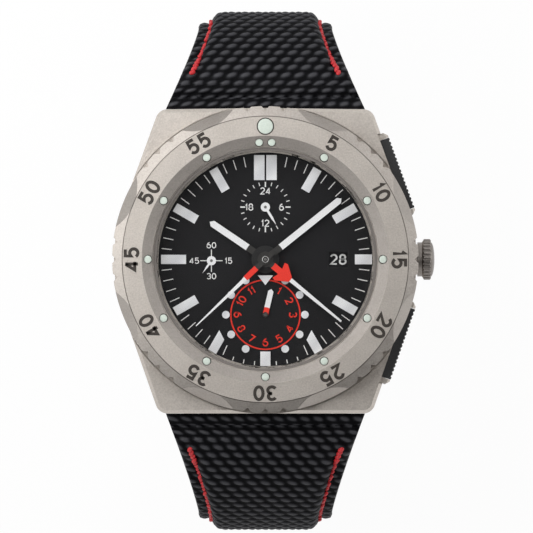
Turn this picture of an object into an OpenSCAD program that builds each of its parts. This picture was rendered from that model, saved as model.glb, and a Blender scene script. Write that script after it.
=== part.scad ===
// A large chronograph wristwatch, closed round the wrist opening by a folding clasp.
// X points to 3 o'clock, Y to 12 o'clock and Z out of the dial. The origin lies on the
// head's middle axis, on the outer face of the clasp that the watch stands on.

/* [Case] */
// Height of the case back's outer face above the clasp's outer face
back_z = 50; // [49:0.5:54]
// Radius of the case middle where the bezel covers it
case_r = 23; // [22.8:0.05:23.2]
// Half width between the centres of the rounded corners
corner_x = 14.9; // [14.5:0.1:15.3]
// How far the 12 o'clock end lies inside the case's radius
end_12_in = 0.2; // [0:0.1:0.5]
// How far the 6 o'clock end stands outside the case's radius
end_6_out = 0.4; // [0.2:0.1:0.8]
// Radius of the four corners
corner_r = 1.8; // [1.4:0.1:2.2]
// Height of the case middle without its neck
case_h = 9.4; // [9.2:0.1:9.8]
// Bevel round the case middle
case_bevel = 0.5; // [0.3:0.1:0.8]
// How far the corners stand up round the bezel
corner_h = 0.6; // [0.3:0.1:1]
// Thickness of the wall round the movement
wall_t = 5; // [4.8:0.1:5.2]
// How far the neck that the bezel turns on lies inside the case's radius
neck_in = 4.3; // [4.2:0.05:4.5]
// Height of the neck
neck_h = 3.1; // [2.9:0.1:3.3]
// Width of the rehaut between the neck's outside and the open dial
rehaut_w = 2.45; // [2.3:0.05:2.6]
// Height of the rehaut between dial and crystal
rehaut_h = 2.2; // [2.1:0.1:2.6]

/* [Bezel] */
// How far the bezel stands out over the case
bezel_over = 0.25; // [0.2:0.05:0.8]
// Width of the bezel's ring
bezel_w = 6.1; // [5.9:0.05:6.2]
// Width of the sloping inner band
slope_w = 1.6; // [1.4:0.05:1.8]
// Width of the flat numeral band
band_w = 2.95; // [2.8:0.05:3.1]
// Height of the bezel
bezel_h = 3.95; // [3.8:0.05:4.2]
// Height of the bevel outside the numeral band
bezel_bevel = 0.3; // [0.2:0.05:1]
// Number of finger grips
grip_count = 8; // [4:1:10]
// Radius of the cone that makes a scallop, at the bezel's top
scallop_r = 9; // [7:0.1:18]
// Depth of a scallop at its middle
scallop_depth = 1.6; // [1:0.05:1.7]
// How far a scallop slopes down to the bezel's edge
scallop_h = 2.6; // [2:0.1:3]
// Depth of the small notches
notch_depth = 0.6; // [0.4:0.05:0.8]
// Angle between neighbouring notches
notch_step = 6.8; // [5.5:0.1:8]
// Radius of a lume pip
pip_r = 0.65; // [0.4:0.05:0.7]
// Radius of the large lume pip at 12 o'clock
pip_12_r = 1.26; // [1:0.02:1.35]
// Radius of the two small lume pips at 12 o'clock
pip_small_r = 0.6; // [0.4:0.05:0.62]

/* [Dial] */
// Thickness of the dial
dial_t = 0.4; // [0.3:0.05:0.5]
// How far the dial reaches under the rehaut
dial_under = 0.55; // [0.3:0.05:0.65]
// Distance of the 24 hour counter from the centre
sub_12 = 7.95; // [7.8:0.05:8.2]
// Distance of the small seconds from the centre
sub_9 = 8.2; // [8.1:0.05:8.4]
// Distance of the 12 hour counter from the centre
sub_6 = 8.4; // [8.2:0.05:8.5]
// Distance of the date window from the centre
date_x = 11.07; // [10.9:0.05:11.2]
// Width of the date window
date_w = 2.7; // [2.4:0.1:2.9]
// Height of the date window
date_h = 2.1; // [1.8:0.1:2.3]
// Height of the applied markers
marker_h = 0.25; // [0.15:0.05:0.3]
// Width of a baton marker
baton_w = 1.4; // [1.2:0.05:1.6]
// Length of a baton marker
baton_l = 3.8; // [3.2:0.1:3.9]
// Gap between the batons and the rehaut
baton_gap = 0.4; // [0.15:0.05:0.7]
// Radius of a round marker
dot_r = 0.58; // [0.4:0.02:0.65]
// Radius of the circle of round markers about the 12 hour counter
dot_ring_r = 6; // [5.8:0.05:6.1]

/* [Hands] */
// Thickness of a hand
hand_t = 0.18; // [0.12:0.02:0.22]
// How far the hour hand ends before the rehaut
hour_short = 6.05; // [5.2:0.05:7.2]
// How far the minute hand ends before the rehaut
minute_short = 1.45; // [1:0.05:2.2]
// How far the chronograph seconds hand ends before the rehaut
chrono_short = 1.65; // [1:0.05:2.2]
// How far the chronograph minutes hand ends before the rehaut
arrow_short = 1.15; // [0.9:0.05:2.2]
// Width of the hour and minute hands
hand_w = 1; // [0.8:0.05:1.2]

/* [Crown and pushers] */
// Radius of the crown
crown_r = 3.1; // [2.9:0.05:3.3]
// Length of the crown's fluted part
crown_l = 1.05; // [0.8:0.05:1.4]
// Length of a pusher along the flank
pusher_l = 13.2; // [12:0.1:13.8]
// Height of a pusher
pusher_h = 4.2; // [3.6:0.1:4.4]
// How far a pusher stands out of the flank
pusher_out = 0.95; // [0.8:0.05:1.2]
// How far a pusher goes in
pusher_travel = 0.7; // [0.5:0.05:0.8]

/* [Strap] */
// Width of the strap at the case
strap_w = 30.3; // [29:0.1:31]
// Width of the strap where it runs down
strap_low_w = 20.4; // [20:0.1:22]
// Width of the raised pad where the strap runs down
pad_low_w = 16.2; // [14:0.1:17]
// Thickness of the strap beside the pad
strap_t = 3.2; // [2.8:0.1:3.6]
// How far the pad stands above the strap
pad_t = 1.7; // [1:0.1:2]
// Thickness of the lining
lining_t = 0.8; // [0.6:0.1:1]
// Reach of the 12 o'clock strap from the centre
reach_12 = 37.7; // [37:0.1:39]
// Reach of the 6 o'clock strap from the centre
reach_6 = 41.2; // [40:0.1:42]
// Radius of a spring bar
bar_r = 0.9; // [0.7:0.05:1]

/* [Clasp] */
// Half the distance between the strap ends at the clasp
clasp_half = 17; // [16.5:0.1:17.5]
// Thickness of the clasp's plates
plate_t = 0.8; // [0.6:0.05:1]
// Half the width of the folding plates
plate_x = 7.8; // [7:0.1:8]
// Radius of a clasp pin
pin_r = 0.6; // [0.5:0.05:0.7]
// Thickness of the clasp cover's walls
cover_t = 1; // [0.8:0.05:1.2]
// How far a clasp button goes in
button_travel = 0.6; // [0.3:0.05:0.6]

/* [Hidden] */
$fn = 96;

// Clearance of a part that turns on a pin or a tube
run_gap = 0.08;
// Clearance between pieces that only lie beside each other
seat_gap = 0.05;
// Overlap that makes a cut go right through
cut = 1;

// Radii, from the case's radius inwards
end_12 = case_r - end_12_in;
end_6 = case_r + end_6_out;
cavity_r = case_r - wall_t;
neck_r = case_r - neck_in;
rehaut_r = neck_r - rehaut_w;
crystal_r = rehaut_r + 0.3;
crystal_seat_r = rehaut_r + 0.75;
dial_r = rehaut_r + dial_under;
bezel_r = case_r + bezel_over;
bezel_in_r = bezel_r - bezel_w;
band_in_r = bezel_in_r + slope_w;
band_out_r = band_in_r + band_w;
pip_12_at = band_in_r + 1.45;
back_r = cavity_r + 2.2;
screw_r = 0.5;
screw_l = 1.6;
screw_ring_r = cavity_r + 0.9;
screw_places = [for (i = [0:5]) at_clock(60 * i + 30, screw_ring_r)];
gasket_in_r = cavity_r;
gasket_out_r = cavity_r + 0.33;
click_in_r = neck_r + 0.9;
click_out_r = neck_r + 2.1;
baton_out = rehaut_r - baton_gap;
short_out = rehaut_r - 0.05;
slanted_l = 2.94;
slant = 0.45;
hour_l = rehaut_r - hour_short;
minute_l = rehaut_r - minute_short;
chrono_l = rehaut_r - chrono_short;
arrow_l = rehaut_r - arrow_short;

// Heights, from the case back upwards
back_t = 1.4;
case_z = back_z + 1.6;
case_top = case_z + case_h;
neck_top = case_top + neck_h;
bezel_z = case_top + 0.3;
bezel_top = bezel_z + bezel_h;
plate_top = case_z + 7.85;
plate_h = 2.15;
plate_bottom = plate_top - plate_h;
disc_z = plate_top + 0.33;
disc_t = 0.17;
dial_z = plate_top + 0.75;
dial_top = dial_z + dial_t;
rehaut_top = dial_top + rehaut_h;
bridge_z = case_z + 2.5;
bridge_t = 0.7;
bridge_top = bridge_z + bridge_t;
wheel_t = 0.15;
cover_short = 1.3;
cover_w = 29;
inlay_bed = 0.8;
inlay_lip = 1.4;
lip_h = 0.55;
corner_gap = 0.2;
crown_in = case_r + 0.1;
crown_step = case_r + 1.1;
crown_bore = case_r + 1.4;
crown_dome = 0.55;
crown_neck_r = crown_r - 0.5;
taper_power = 1.2;
rib_w = 0.36;
rib_pitch = 0.64;
rib_h = 0.13;
rib_ground = 0.08;
crystal_t = 2.4;
tube_r = 1.5;
tube_bore_r = 1;
gasket_t = 0.25;
pip_depth = 0.35;
stem_z = plate_top - plate_h / 2 - 0.02;
stem_r = 0.5;
stem_in = 10.5;

// The small hands turn just above the dial, and the four long ones above them, a step apart
sub_hand_z = dial_top + 0.1;
hand_z = dial_top + 0.37;
hand_step = 0.4;
minute_z = hand_z + hand_step;
arrow_z = minute_z + hand_step;
sweep_z = arrow_z + hand_step;
// The date disc's ring
disc_in = date_x - date_w / 2 - 0.4;
disc_out = date_x + date_w / 2 + 0.6;
// The dial's angle conventions: clockwise from 12 o'clock
hour_at = 304.1;
minute_at = 51.3;
chrono_at = 226.2;
arrow_at = 129.3;
day_night_at = 148.5;
seconds_at = 215.4;
counter_at = 13.2;

// The movement: its plate, and the room for the pivots and arbors that turn in it
plate_r = 15;
pivot_play = 0.05;
arbor_play = 0.06;
pivot_depth = 0.8;
stud_x = 1.95;
barrel_arbor_r = 0.5;

// The winding rotor
rotor_z = case_z + 0.15;
rotor_bridge_z = case_z + 0.8;
rotor_r = plate_r - 0.5;
rotor_t = 0.45;
rotor_rim_w = 1.2;
rotor_rim_h = 1.4;
rotor_hub_r = 2.6;
rotor_post_r = 1.2;

// Radii of the tubes and arbors on the middle axis, from the inside out
chrono_arbor_r = 0.18;
arrow_tube_r = 0.45;
cannon_r = 0.78;
hour_tube_r = 1.15;
sub_arbor_r = 0.22;
pivot_r = 0.15;

// Places of the train's arbors
small_seconds_p = [-sub_9, -0.2];
day_night_p = [0, sub_12];
counter_p = [0, -sub_6];
barrel_p = [-6.6, 7.4];
third_p = [-6.49, -4.04];
escape_p = [-11, -4.6];
pallet_p = [-9, -6.97];
balance_p = [-7.3, -9];
cock_foot = [-3.4, -11.6];
pillars = [[12, 4.5], [4.5, 12], [9.5, -9], [-13.3, 2.6]];
pillar_r = 1.1;
movement_screw_r = 0.4;

// Heights of the train's wheels
third_z = bridge_top + 1.4;
centre_z = bridge_top + 2;
barrel_z = bridge_top + 0.4;
barrel_h = 1.45;
fourth_z = bridge_top + 0.12;
escape_z = bridge_top + 0.75;
balance_z = bridge_top + 0.3;
chrono_z = bridge_z - 0.95;
counter_z = bridge_z - 0.6;

// The flanks run from the corner circles to the circle that the bezel covers
corner_12 = [corner_x, end_12 - corner_r];
corner_6 = [corner_x, corner_r - end_6];
function flank_angle(c) = let (side = sign(c[1]))
    atan2(c[1], c[0]) - side * acos((case_r - corner_r) / norm(c));
flank_12 = flank_angle(corner_12);
flank_6 = flank_angle(corner_6);
// Middle of a pusher along its flank, from the point where the flank leaves the circle
pusher_mid = 5.3;
pusher_z = case_top - 0.6 - pusher_h / 2;
pusher_open = 0.5;
pusher_gap = 0.12;
pocket_depth = 1.7;
pusher_stem_r = 0.6;
spring_r = 0.95;
spring_wire = 0.12;

// Spring bars lie outside the ends of the case, on two lugs each
strap_end_r = 2.7;
bar_gap = 0.4;
bar_z = case_z + 4.4;
bar_12 = [end_12 + bar_gap + strap_end_r, bar_z];
bar_6 = [end_6 + bar_gap + strap_end_r, bar_z];
lug_x = 11.4;
lug_w = 2;
lug_r = 1.9;

// Folding clasp: pivots as [y, z]. A joins strap and base, B base and leaf, C leaf and
// cover, D cover and strap.
pivot_a = [clasp_half, 5.9];
pivot_b = [-13, 3.9];
pivot_c = [13.2, 2.4];
pivot_d = [-clasp_half, 4.6];
knuckle_r = 1.1;
loop_r = 1.5;
cover_in = plate_x + 0.5;
cover_x = cover_in + cover_t;
base_knuckle_x = 6;
// Fingers of base and leaf lie side by side up to here from pivot B
finger_l = 8.6;
base_finger_x = 3.5;
// Height of the cover's side walls, and the push-buttons in them
wall_z = 3.9;
button_y = 0;
button_z = 2.4;
button_r = 1.2;

// The strap's middle line: an arc from the spring bar out to the reach, a flatter arc down
// and a tighter arc in to the clasp
top_turn = 70;
down_r = 70;
down_turn_12 = 20;
down_turn_6 = 15;
line_12 = strap_line(bar_12, reach_12, pivot_a, down_turn_12);
pivot_d_out = [-pivot_d[0], pivot_d[1]];
line_6 = strap_line(bar_6, reach_6, pivot_d_out, down_turn_6);
// Layers of the strap from its middle line outwards, and the tail that the pin's loops end
strap_in = 2.2;
flange_out = strap_t - strap_in;
pad_out = flange_out + pad_t - 0.1;
pad_inset = (strap_low_w - pad_low_w) / 2;
tail_l = 4.5;
tail_half = 1;
loop_12_x = 9;

function at_clock(a, r) = [r * sin(a), r * cos(a)];
function steps(from, to, n) = [for (i = [0:n]) from + (to - from) * i / n];
function arc(c, r, angles) = [for (a = angles) c + r * [cos(a), sin(a)]];
function back_to_front(list) = [for (i = [len(list) - 1:-1:0]) list[i]];

// Outline of the case at an inset from its flanks
module case_outline(inset) {
    hull() {
        circle(r = case_r - inset);
        for (side = [-1, 1]) {
            translate([side * corner_12[0], corner_12[1]]) circle(r = corner_r - inset, $fn = 48);
            translate([side * corner_6[0], corner_6[1]]) circle(r = corner_r - inset, $fn = 48);
        }
    }
}

module tube(r_out, r_in, h) {
    difference() {
        cylinder(r = r_out, h = h);
        translate([0, 0, -cut]) cylinder(r = r_in, h = h + 2 * cut);
    }
}

// A cylinder along X between two places
module x_rod(r, x_from, x_to) {
    translate([x_from, 0, 0]) rotate([0, 90, 0]) cylinder(r = r, h = x_to - x_from);
}

// A shape drawn in the plane of Y and Z, spread along X about a middle
module across(x_mid, w) {
    translate([x_mid - w / 2, 0, 0]) rotate([90, 0, 90]) linear_extrude(w) children();
}

// Frame of a pusher: X out of the flank, Y along it
module on_flank(upper) {
    a = upper ? flank_12 : flank_6;
    side = upper ? 1 : -1;
    rotate([0, 0, a]) translate([case_r, side * pusher_mid, pusher_z]) children();
}

// Case and bezel

module case_middle() {
    color([0.62, 0.6, 0.57]) difference() {
        union() {
            hull() {
                translate([0, 0, case_z + case_bevel])
                    linear_extrude(case_h + corner_h - 2 * case_bevel) case_outline(0);
                translate([0, 0, case_z])
                    linear_extrude(case_h + corner_h) case_outline(case_bevel);
            }
            translate([0, 0, case_top - cut]) cylinder(r = neck_r, h = neck_h + cut);
            for (end = [[1, bar_12], [-1, bar_6]], side = [-1, 1]) lug(end[0], end[1], side);
        }
        // the bezel's bed between the raised corners
        translate([0, 0, case_top]) tube(bezel_r + corner_gap, neck_r, corner_h + cut);
        // space for the movement, the dial's seat, and the crystal's seat above the rehaut
        translate([0, 0, case_z - cut]) cylinder(r = cavity_r, h = plate_top - case_z + cut);
        translate([0, 0, case_z]) cylinder(r = dial_r + seat_gap, h = dial_top - case_z);
        translate([0, 0, case_z]) cylinder(r = rehaut_r, h = case_h + neck_h + cut);
        translate([0, 0, rehaut_top]) cylinder(r = crystal_seat_r, h = neck_h + cut);
        // crown tube
        translate([0, 0, stem_z]) x_rod(tube_r + seat_gap, cavity_r - cut, case_r + cut);
        for (upper = [true, false]) pusher_pocket(upper);
        for (p = screw_places) translate([p[0], p[1], case_z - cut])
            cylinder(r = screw_r + seat_gap, h = screw_l + cut, $fn = 32);
    }
}

// One lug: an arm from the case's end to the eye that holds a spring bar
module lug(side_y, bar, side_x) {
    eye = [side_y * bar[0], bar[1]];
    arm_from = bar[0] - 2 * strap_end_r - bar_gap;
    difference() {
        union() {
            across(side_x * lug_x, lug_w) translate(eye) circle(r = lug_r);
            across(side_x * lug_x, lug_w)
                translate([min(side_y * arm_from, side_y * bar[0]), bar[1] - 1.6])
                square([bar[0] - arm_from, 2.2]);
        }
        translate([0, eye[0], eye[1]])
            x_rod(bar_r + seat_gap, side_x * lug_x - lug_w, side_x * lug_x + lug_w);
    }
}

module pusher_pocket(upper) {
    l = pusher_l + 2 * pusher_gap;
    h = pusher_h + 2 * pusher_gap;
    on_flank(upper) {
        translate([-pocket_depth, -l / 2, -h / 2]) cube([pocket_depth + 4, l, h]);
        // above the pusher's outer part the pocket is open
        translate([-pusher_open, -l / 2, 0]) cube([pusher_open + 4, l, h]);
        // guide for the stem, and the wider bore that takes its spring
        x_rod(pusher_stem_r + run_gap, -7, 0);
        x_rod(spring_r + 0.15, -pocket_depth - 1.5, 0);
    }
}

module crown_tube() {
    color("silver") translate([0, 0, stem_z]) difference() {
        x_rod(tube_r, cavity_r - 0.6, case_r + 1);
        x_rod(tube_bore_r, cavity_r - 2, case_r + 2);
    }
}

module bezel_profile() {
    polygon([
        [neck_r + 0.15, bezel_z],
        [bezel_r - 0.3, bezel_z],
        [bezel_r, bezel_z + 0.3],
        [bezel_r, bezel_top - bezel_bevel],
        [band_out_r, bezel_top],
        [band_in_r, bezel_top],
        [bezel_in_r, bezel_top - 0.55],
        [bezel_in_r, neck_top + 0.15],
        [neck_r + 0.15, neck_top + 0.15]
    ]);
}

module bezel() {
    turn = 360 / grip_count;
    scallop_c = bezel_r - scallop_depth + scallop_r;
    over = cut * scallop_depth / scallop_h;
    color([0.62, 0.6, 0.57]) difference() {
        rotate_extrude($fn = 180) bezel_profile();
        for (i = [0:grip_count - 1]) {
            rotate([0, 0, turn * (i + 0.5)]) translate([scallop_c, 0, bezel_top - scallop_h])
                cylinder(r1 = scallop_r - scallop_depth, r2 = scallop_r + over, h = scallop_h + cut);
            for (k = [-1:1]) rotate([0, 0, turn * i + notch_step * k])
                translate([bezel_r - notch_depth, 0, bezel_z - cut])
                rotate([0, 0, -45]) cube([3, 3, bezel_h + 2 * cut]);
        }
        // seats of the lume pips
        for (i = [1:11]) pip_seat(30 * i, (bezel_in_r + band_in_r) / 2 - 0.1, pip_r);
        pip_seat(0, pip_12_at, pip_12_r);
        for (side = [-1, 1]) pip_seat(3 * side, bezel_in_r + 0.63, pip_small_r);
        // groove for the click ring
        translate([0, 0, bezel_z - cut]) tube(click_out_r + 0.1, click_in_r - 0.1, cut + 0.45);
    }
}

module pip_seat(angle, r, pip) {
    p = at_clock(angle, r);
    translate([p[0], p[1], bezel_top - 0.3 - pip_depth]) cylinder(r = pip, h = 2, $fn = 32);
}

// A flat spring ring between case and bezel, with three tongues bent up to the bezel's groove
module bezel_click_ring() {
    color("silver") translate([0, 0, case_top]) {
        tube(click_out_r, click_in_r, 0.2);
        for (i = [0:2]) rotate([0, 0, 120 * i + 20]) translate([click_in_r + 0.2, -1.3, 0.1])
            cube([click_out_r - click_in_r - 0.4, 2.6, 0.5]);
    }
}

module crystal() {
    color([0.85, 0.93, 0.95, 0.25]) translate([0, 0, rehaut_top]) rotate_extrude($fn = 180) polygon(concat(
        [[0, 0], [crystal_r, 0], [crystal_r, crystal_t - 0.35], [crystal_r - 0.35, crystal_t]],
        [for (i = [1:8]) [(crystal_r - 0.35) * (1 - i / 8),
            crystal_t + 0.5 * (1 - pow(1 - i / 8, 2))]]
    ));
}

// One seal round the crystal and one under the case back's flange
module case_gaskets() {
    color("dimgray") {
        translate([0, 0, rehaut_top])
            tube(crystal_seat_r - 0.01, crystal_r + 0.01, neck_top - rehaut_top - 0.1);
        translate([0, 0, case_z - gasket_t])
            tube(gasket_out_r - 0.01, gasket_in_r + 0.01, gasket_t);
    }
}

// Dial and its markers

module dial() {
    color([0.08, 0.08, 0.09]) difference() {
        translate([0, 0, dial_z]) cylinder(r = dial_r, h = dial_t, $fn = 180);
        translate([0, 0, dial_z - cut]) {
            cylinder(r = hour_tube_r + 0.2, h = dial_t + 2 * cut);
            for (p = [small_seconds_p, day_night_p, counter_p]) translate([p[0], p[1], 0])
                cylinder(r = sub_arbor_r + 0.15, h = dial_t + 2 * cut, $fn = 32);
        }
        translate([date_x - date_w / 2, -date_h / 2, dial_z - cut])
            cube([date_w, date_h, dial_t + 2 * cut]);
    }
}

module baton(angle, r_out, l, w) {
    rotate([0, 0, -angle]) translate([-w / 2, r_out - l, dial_top]) cube([w, l, marker_h]);
}

// The batons at 5 and 7 o'clock are cut to a slant that clears the 12 hour counter
module slanted_baton(side) {
    inner = short_out - slanted_l;
    rotate([0, 0, -180 + 30 * side]) translate([0, 0, dial_top]) linear_extrude(marker_h)
        polygon([[-baton_w / 2, short_out], [baton_w / 2, short_out],
            [baton_w / 2, inner + slant * side], [-baton_w / 2, inner - slant * side]]);
}

module dial_markers() {
    color([0.9, 0.92, 0.88]) {
        for (h = [1, 2, 4, 8, 9, 10, 11]) baton(30 * h, baton_out, baton_l, baton_w);
        for (side = [-1, 1]) {
            slanted_baton(side);
            translate([side * 0.93, 0, 0]) baton(0, baton_out, baton_l, baton_w + 0.2);
        }
        baton(90, short_out, 2.6, baton_w + 0.1);
        baton(180, short_out, 2.2, baton_w + 0.15);
        for (h = [1:5], side = [-1, 1]) let (p = at_clock(30 * h * side, dot_ring_r))
            translate([p[0], p[1] - sub_6, dial_top]) cylinder(r = dot_r, h = marker_h, $fn = 32);
        translate([0, 0, dial_top]) linear_extrude(marker_h)
            polygon([[-1.15, -2.43], [1.15, -2.43], [0, -3.9]]);
    }
}

module date_disc() {
    color([0.05, 0.05, 0.05]) translate([0, 0, disc_z]) difference() {
        tube(disc_out, disc_in, disc_t);
        // teeth inside the ring, one a day
        for (i = [0:30]) rotate([0, 0, 360 / 31 * i]) translate([disc_in + 0.05, 0, -cut])
            cylinder(r = 0.3, h = disc_t + 2 * cut, $fn = 6);
    }
}

// Hands

// A straight hand with a hub, drawn along Y
module hand_shape(l, w, hub_r, tip) {
    difference() {
        union() {
            circle(r = hub_r);
            polygon([[-w / 2, 0], [w / 2, 0], [w / 2, l - tip], [0, l], [-w / 2, l - tip]]);
        }
        children();
    }
}

module hand_at(p, angle, z) {
    translate([p[0], p[1], z]) rotate([0, 0, -angle]) linear_extrude(hand_t) children();
}

module hour_hand() {
    color("white") hand_at([0, 0], hour_at, hand_z)
        hand_shape(hour_l, hand_w, 2.1, 0.5) circle(r = hour_tube_r);
}

module minute_hand() {
    color("white") hand_at([0, 0], minute_at, minute_z)
        hand_shape(minute_l, hand_w, 1.6, 0.5) circle(r = cannon_r);
}

module chrono_minutes_hand() {
    color([0.85, 0.12, 0.08]) hand_at([0, 0], arrow_at, arrow_z) difference() {
        union() {
            circle(r = 1.2);
            polygon([[-0.5, 0], [0.5, 0], [0.5, 2.9], [1.45, 2.6], [1.6, 3.1], [0.5, 4.75],
                [0.32, 4.9], [0.15, arrow_l - 0.2], [-0.15, arrow_l - 0.2], [-0.32, 4.9],
                [-0.5, 4.75], [-1.6, 3.1], [-1.45, 2.6], [-0.5, 2.9]]);
        }
        circle(r = arrow_tube_r);
    }
}

module chrono_seconds_hand() {
    color("white") hand_at([0, 0], chrono_at, sweep_z) difference() {
        union() {
            circle(r = 0.8);
            polygon([[-0.42, -1.6], [0.42, -1.6], [0.42, 4.2], [0.29, 4.25], [0.075, chrono_l],
                [-0.075, chrono_l], [-0.29, 4.25], [-0.42, 4.2]]);
        }
        circle(r = chrono_arbor_r);
    }
}

module day_night_hand() {
    color("white") hand_at(day_night_p, day_night_at, sub_hand_z)
        hand_shape(3.2, 0.35, 0.7, 1.2) circle(r = sub_arbor_r, $fn = 32);
}

module small_seconds_hand() {
    color("white") hand_at(small_seconds_p, seconds_at, sub_hand_z)
        hand_shape(2.35, 0.3, 0.7, 1.2) circle(r = sub_arbor_r, $fn = 32);
}

module hour_counter_hand() {
    color("white") hand_at(counter_p, counter_at, sub_hand_z)
        hand_shape(4, 0.82, 0.41, 0.35) circle(r = sub_arbor_r, $fn = 32);
}

// Movement, dial side first

// A spoked wheel with pointed teeth
module gear(r, teeth, bore) {
    tooth = 0.22;
    linear_extrude(wheel_t) difference() {
        polygon([for (i = [0:2 * teeth - 1]) (i % 2 == 0 ? r : r - tooth)
            * [cos(180 * i / teeth), sin(180 * i / teeth)]]);
        circle(r = bore, $fn = 32);
        for (i = [0:4]) rotate(72 * i) translate([0.56 * r, 0]) circle(r = 0.23 * r, $fn = 32);
    }
}

// A small gear on an arbor, without spokes
module pinion_at(p, z, r) {
    leaves = 8;
    translate([p[0], p[1], z]) linear_extrude(wheel_t)
        polygon([for (i = [0:2 * leaves - 1]) (i % 2 == 0 ? r : 0.75 * r)
            * [cos(180 * i / leaves), sin(180 * i / leaves)]]);
}

// An arbor: a thick middle, and thin pivots in the bridge and the plate
module arbor(p, thick) {
    translate([p[0], p[1], bridge_z + 0.1])
        cylinder(r = pivot_r, h = plate_bottom + 0.6 - bridge_z - 0.1, $fn = 24);
    translate([p[0], p[1], bridge_top + 0.08])
        cylinder(r = thick, h = plate_bottom - bridge_top - 0.16, $fn = 24);
}

module wheel_at(p, z, r, teeth, bore) {
    translate([p[0], p[1], z]) gear(r, teeth, bore);
}

module main_plate() {
    color([0.75, 0.72, 0.66]) difference() {
        union() {
            translate([0, 0, plate_bottom]) cylinder(r = plate_r, h = plate_h);
            for (p = pillars) translate([p[0], p[1], bridge_top])
                cylinder(r = pillar_r, h = plate_bottom - bridge_top + cut, $fn = 32);
        }
        for (p = pillars) translate([p[0], p[1], bridge_top - cut])
            cylinder(r = movement_screw_r + seat_gap, h = 2.5 + cut, $fn = 24);
        translate([0, 0, plate_bottom - cut]) {
            cylinder(r = cannon_r + 0.1, h = plate_h + 2 * cut);
            for (p = [small_seconds_p, counter_p]) translate([p[0], p[1], 0])
                cylinder(r = sub_arbor_r + arbor_play, h = plate_h + 2 * cut, $fn = 24);
            for (p = [third_p, escape_p, pallet_p, balance_p]) translate([p[0], p[1], 0])
                cylinder(r = pivot_r + pivot_play, h = cut + pivot_depth, $fn = 24);
            translate([barrel_p[0], barrel_p[1], 0])
                cylinder(r = barrel_arbor_r + pivot_play, h = cut + pivot_depth, $fn = 24);
        }
        translate([day_night_p[0], day_night_p[1], plate_top - 1])
            cylinder(r = sub_arbor_r + arbor_play, h = 2, $fn = 24);
        translate([0, 0, stem_z]) x_rod(stem_r + 0.1, stem_in - 0.5, plate_r + cut);
    }
}

module movement_ring() {
    ring_z = bridge_top + 0.1;
    color([0.6, 0.6, 0.6]) difference() {
        translate([0, 0, ring_z]) tube(cavity_r - seat_gap, plate_r + seat_gap, plate_top - ring_z);
        translate([0, 0, stem_z]) x_rod(tube_r + 0.15, plate_r - cut, cavity_r + cut);
    }
}

module cock_outline(grow) {
    angle = atan2(cock_foot[1] - balance_p[1], cock_foot[0] - balance_p[0]);
    l = norm(cock_foot - balance_p);
    translate(balance_p) {
        circle(r = 1.2 + grow);
        rotate(angle) translate([0, -0.9 - grow]) square([l, 1.8 + 2 * grow]);
    }
    translate(cock_foot) circle(r = 1.2 + grow);
}

module train_bridge() {
    color([0.78, 0.76, 0.7]) translate([0, 0, bridge_z]) linear_extrude(bridge_t) difference() {
        circle(r = plate_r - 0.4);
        circle(r = arrow_tube_r + 0.12);
        translate(balance_p) circle(r = 2.15);
        cock_outline(0.3);
        for (p = pillars) translate(p) circle(r = movement_screw_r + seat_gap, $fn = 24);
        for (p = [third_p, escape_p, pallet_p]) translate(p) circle(r = pivot_r + pivot_play, $fn = 24);
        for (p = [small_seconds_p, counter_p]) translate(p)
            circle(r = sub_arbor_r + arbor_play, $fn = 24);
        translate(barrel_p) circle(r = barrel_arbor_r + pivot_play, $fn = 24);
    }
}

module barrel() {
    color([0.8, 0.7, 0.45]) translate([barrel_p[0], barrel_p[1], 0]) {
        translate([0, 0, barrel_z]) difference() {
            cylinder(r = 4.6, h = barrel_h);
            translate([0, 0, 0.3]) tube(4.3, 1.2, barrel_h - 0.6);
        }
        translate([0, 0, bridge_z + 0.1])
            cylinder(r = barrel_arbor_r, h = plate_bottom + 0.6 - bridge_z - 0.1, $fn = 24);
    }
}

module centre_wheel() {
    color([0.85, 0.75, 0.4]) wheel_at([0, 0], centre_z, 6.9, 64, cannon_r);
}

module third_wheel() {
    color([0.85, 0.75, 0.4]) {
        wheel_at(third_p, third_z, 3.5, 60, pivot_r);
        pinion_at(third_p, centre_z, 0.7);
        arbor(third_p, 0.3);
    }
}

module fourth_wheel() {
    color([0.85, 0.75, 0.4]) {
        wheel_at(small_seconds_p, fourth_z, 3.75, 70, sub_arbor_r / 2);
        pinion_at(small_seconds_p, third_z, 0.65);
        sub_arbor(small_seconds_p, bridge_z + 0.1);
    }
}

// An arbor that reaches from the movement up to a small hand
module sub_arbor(p, z) {
    top = sub_hand_z + hand_t;
    translate([p[0], p[1], z]) cylinder(r = sub_arbor_r, h = top - z, $fn = 24);
}

module escape_wheel() {
    color([0.8, 0.8, 0.8]) {
        wheel_at(escape_p, escape_z, 2.2, 15, pivot_r);
        pinion_at(escape_p, fourth_z, 1.4);
        arbor(escape_p, 0.2);
    }
}

module pallet_fork() {
    to_escape = escape_p - pallet_p;
    to_balance = balance_p - pallet_p;
    back = norm(to_escape);
    color([0.8, 0.8, 0.8]) {
        translate([0, 0, escape_z]) linear_extrude(wheel_t) {
            translate(escape_p) rotate(atan2(-to_escape[1], -to_escape[0]))
                polygon(concat(arc([0, 0], back + 0.2, steps(-32, 32, 12)),
                    arc([0, 0], back - 0.4, steps(32, -32, 12))));
            translate(pallet_p) rotate(atan2(to_balance[1], to_balance[0]))
                translate([0, -0.15]) square([norm(to_balance) - 0.45, 0.3]);
        }
        arbor(pallet_p, 0.2);
    }
}

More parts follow.
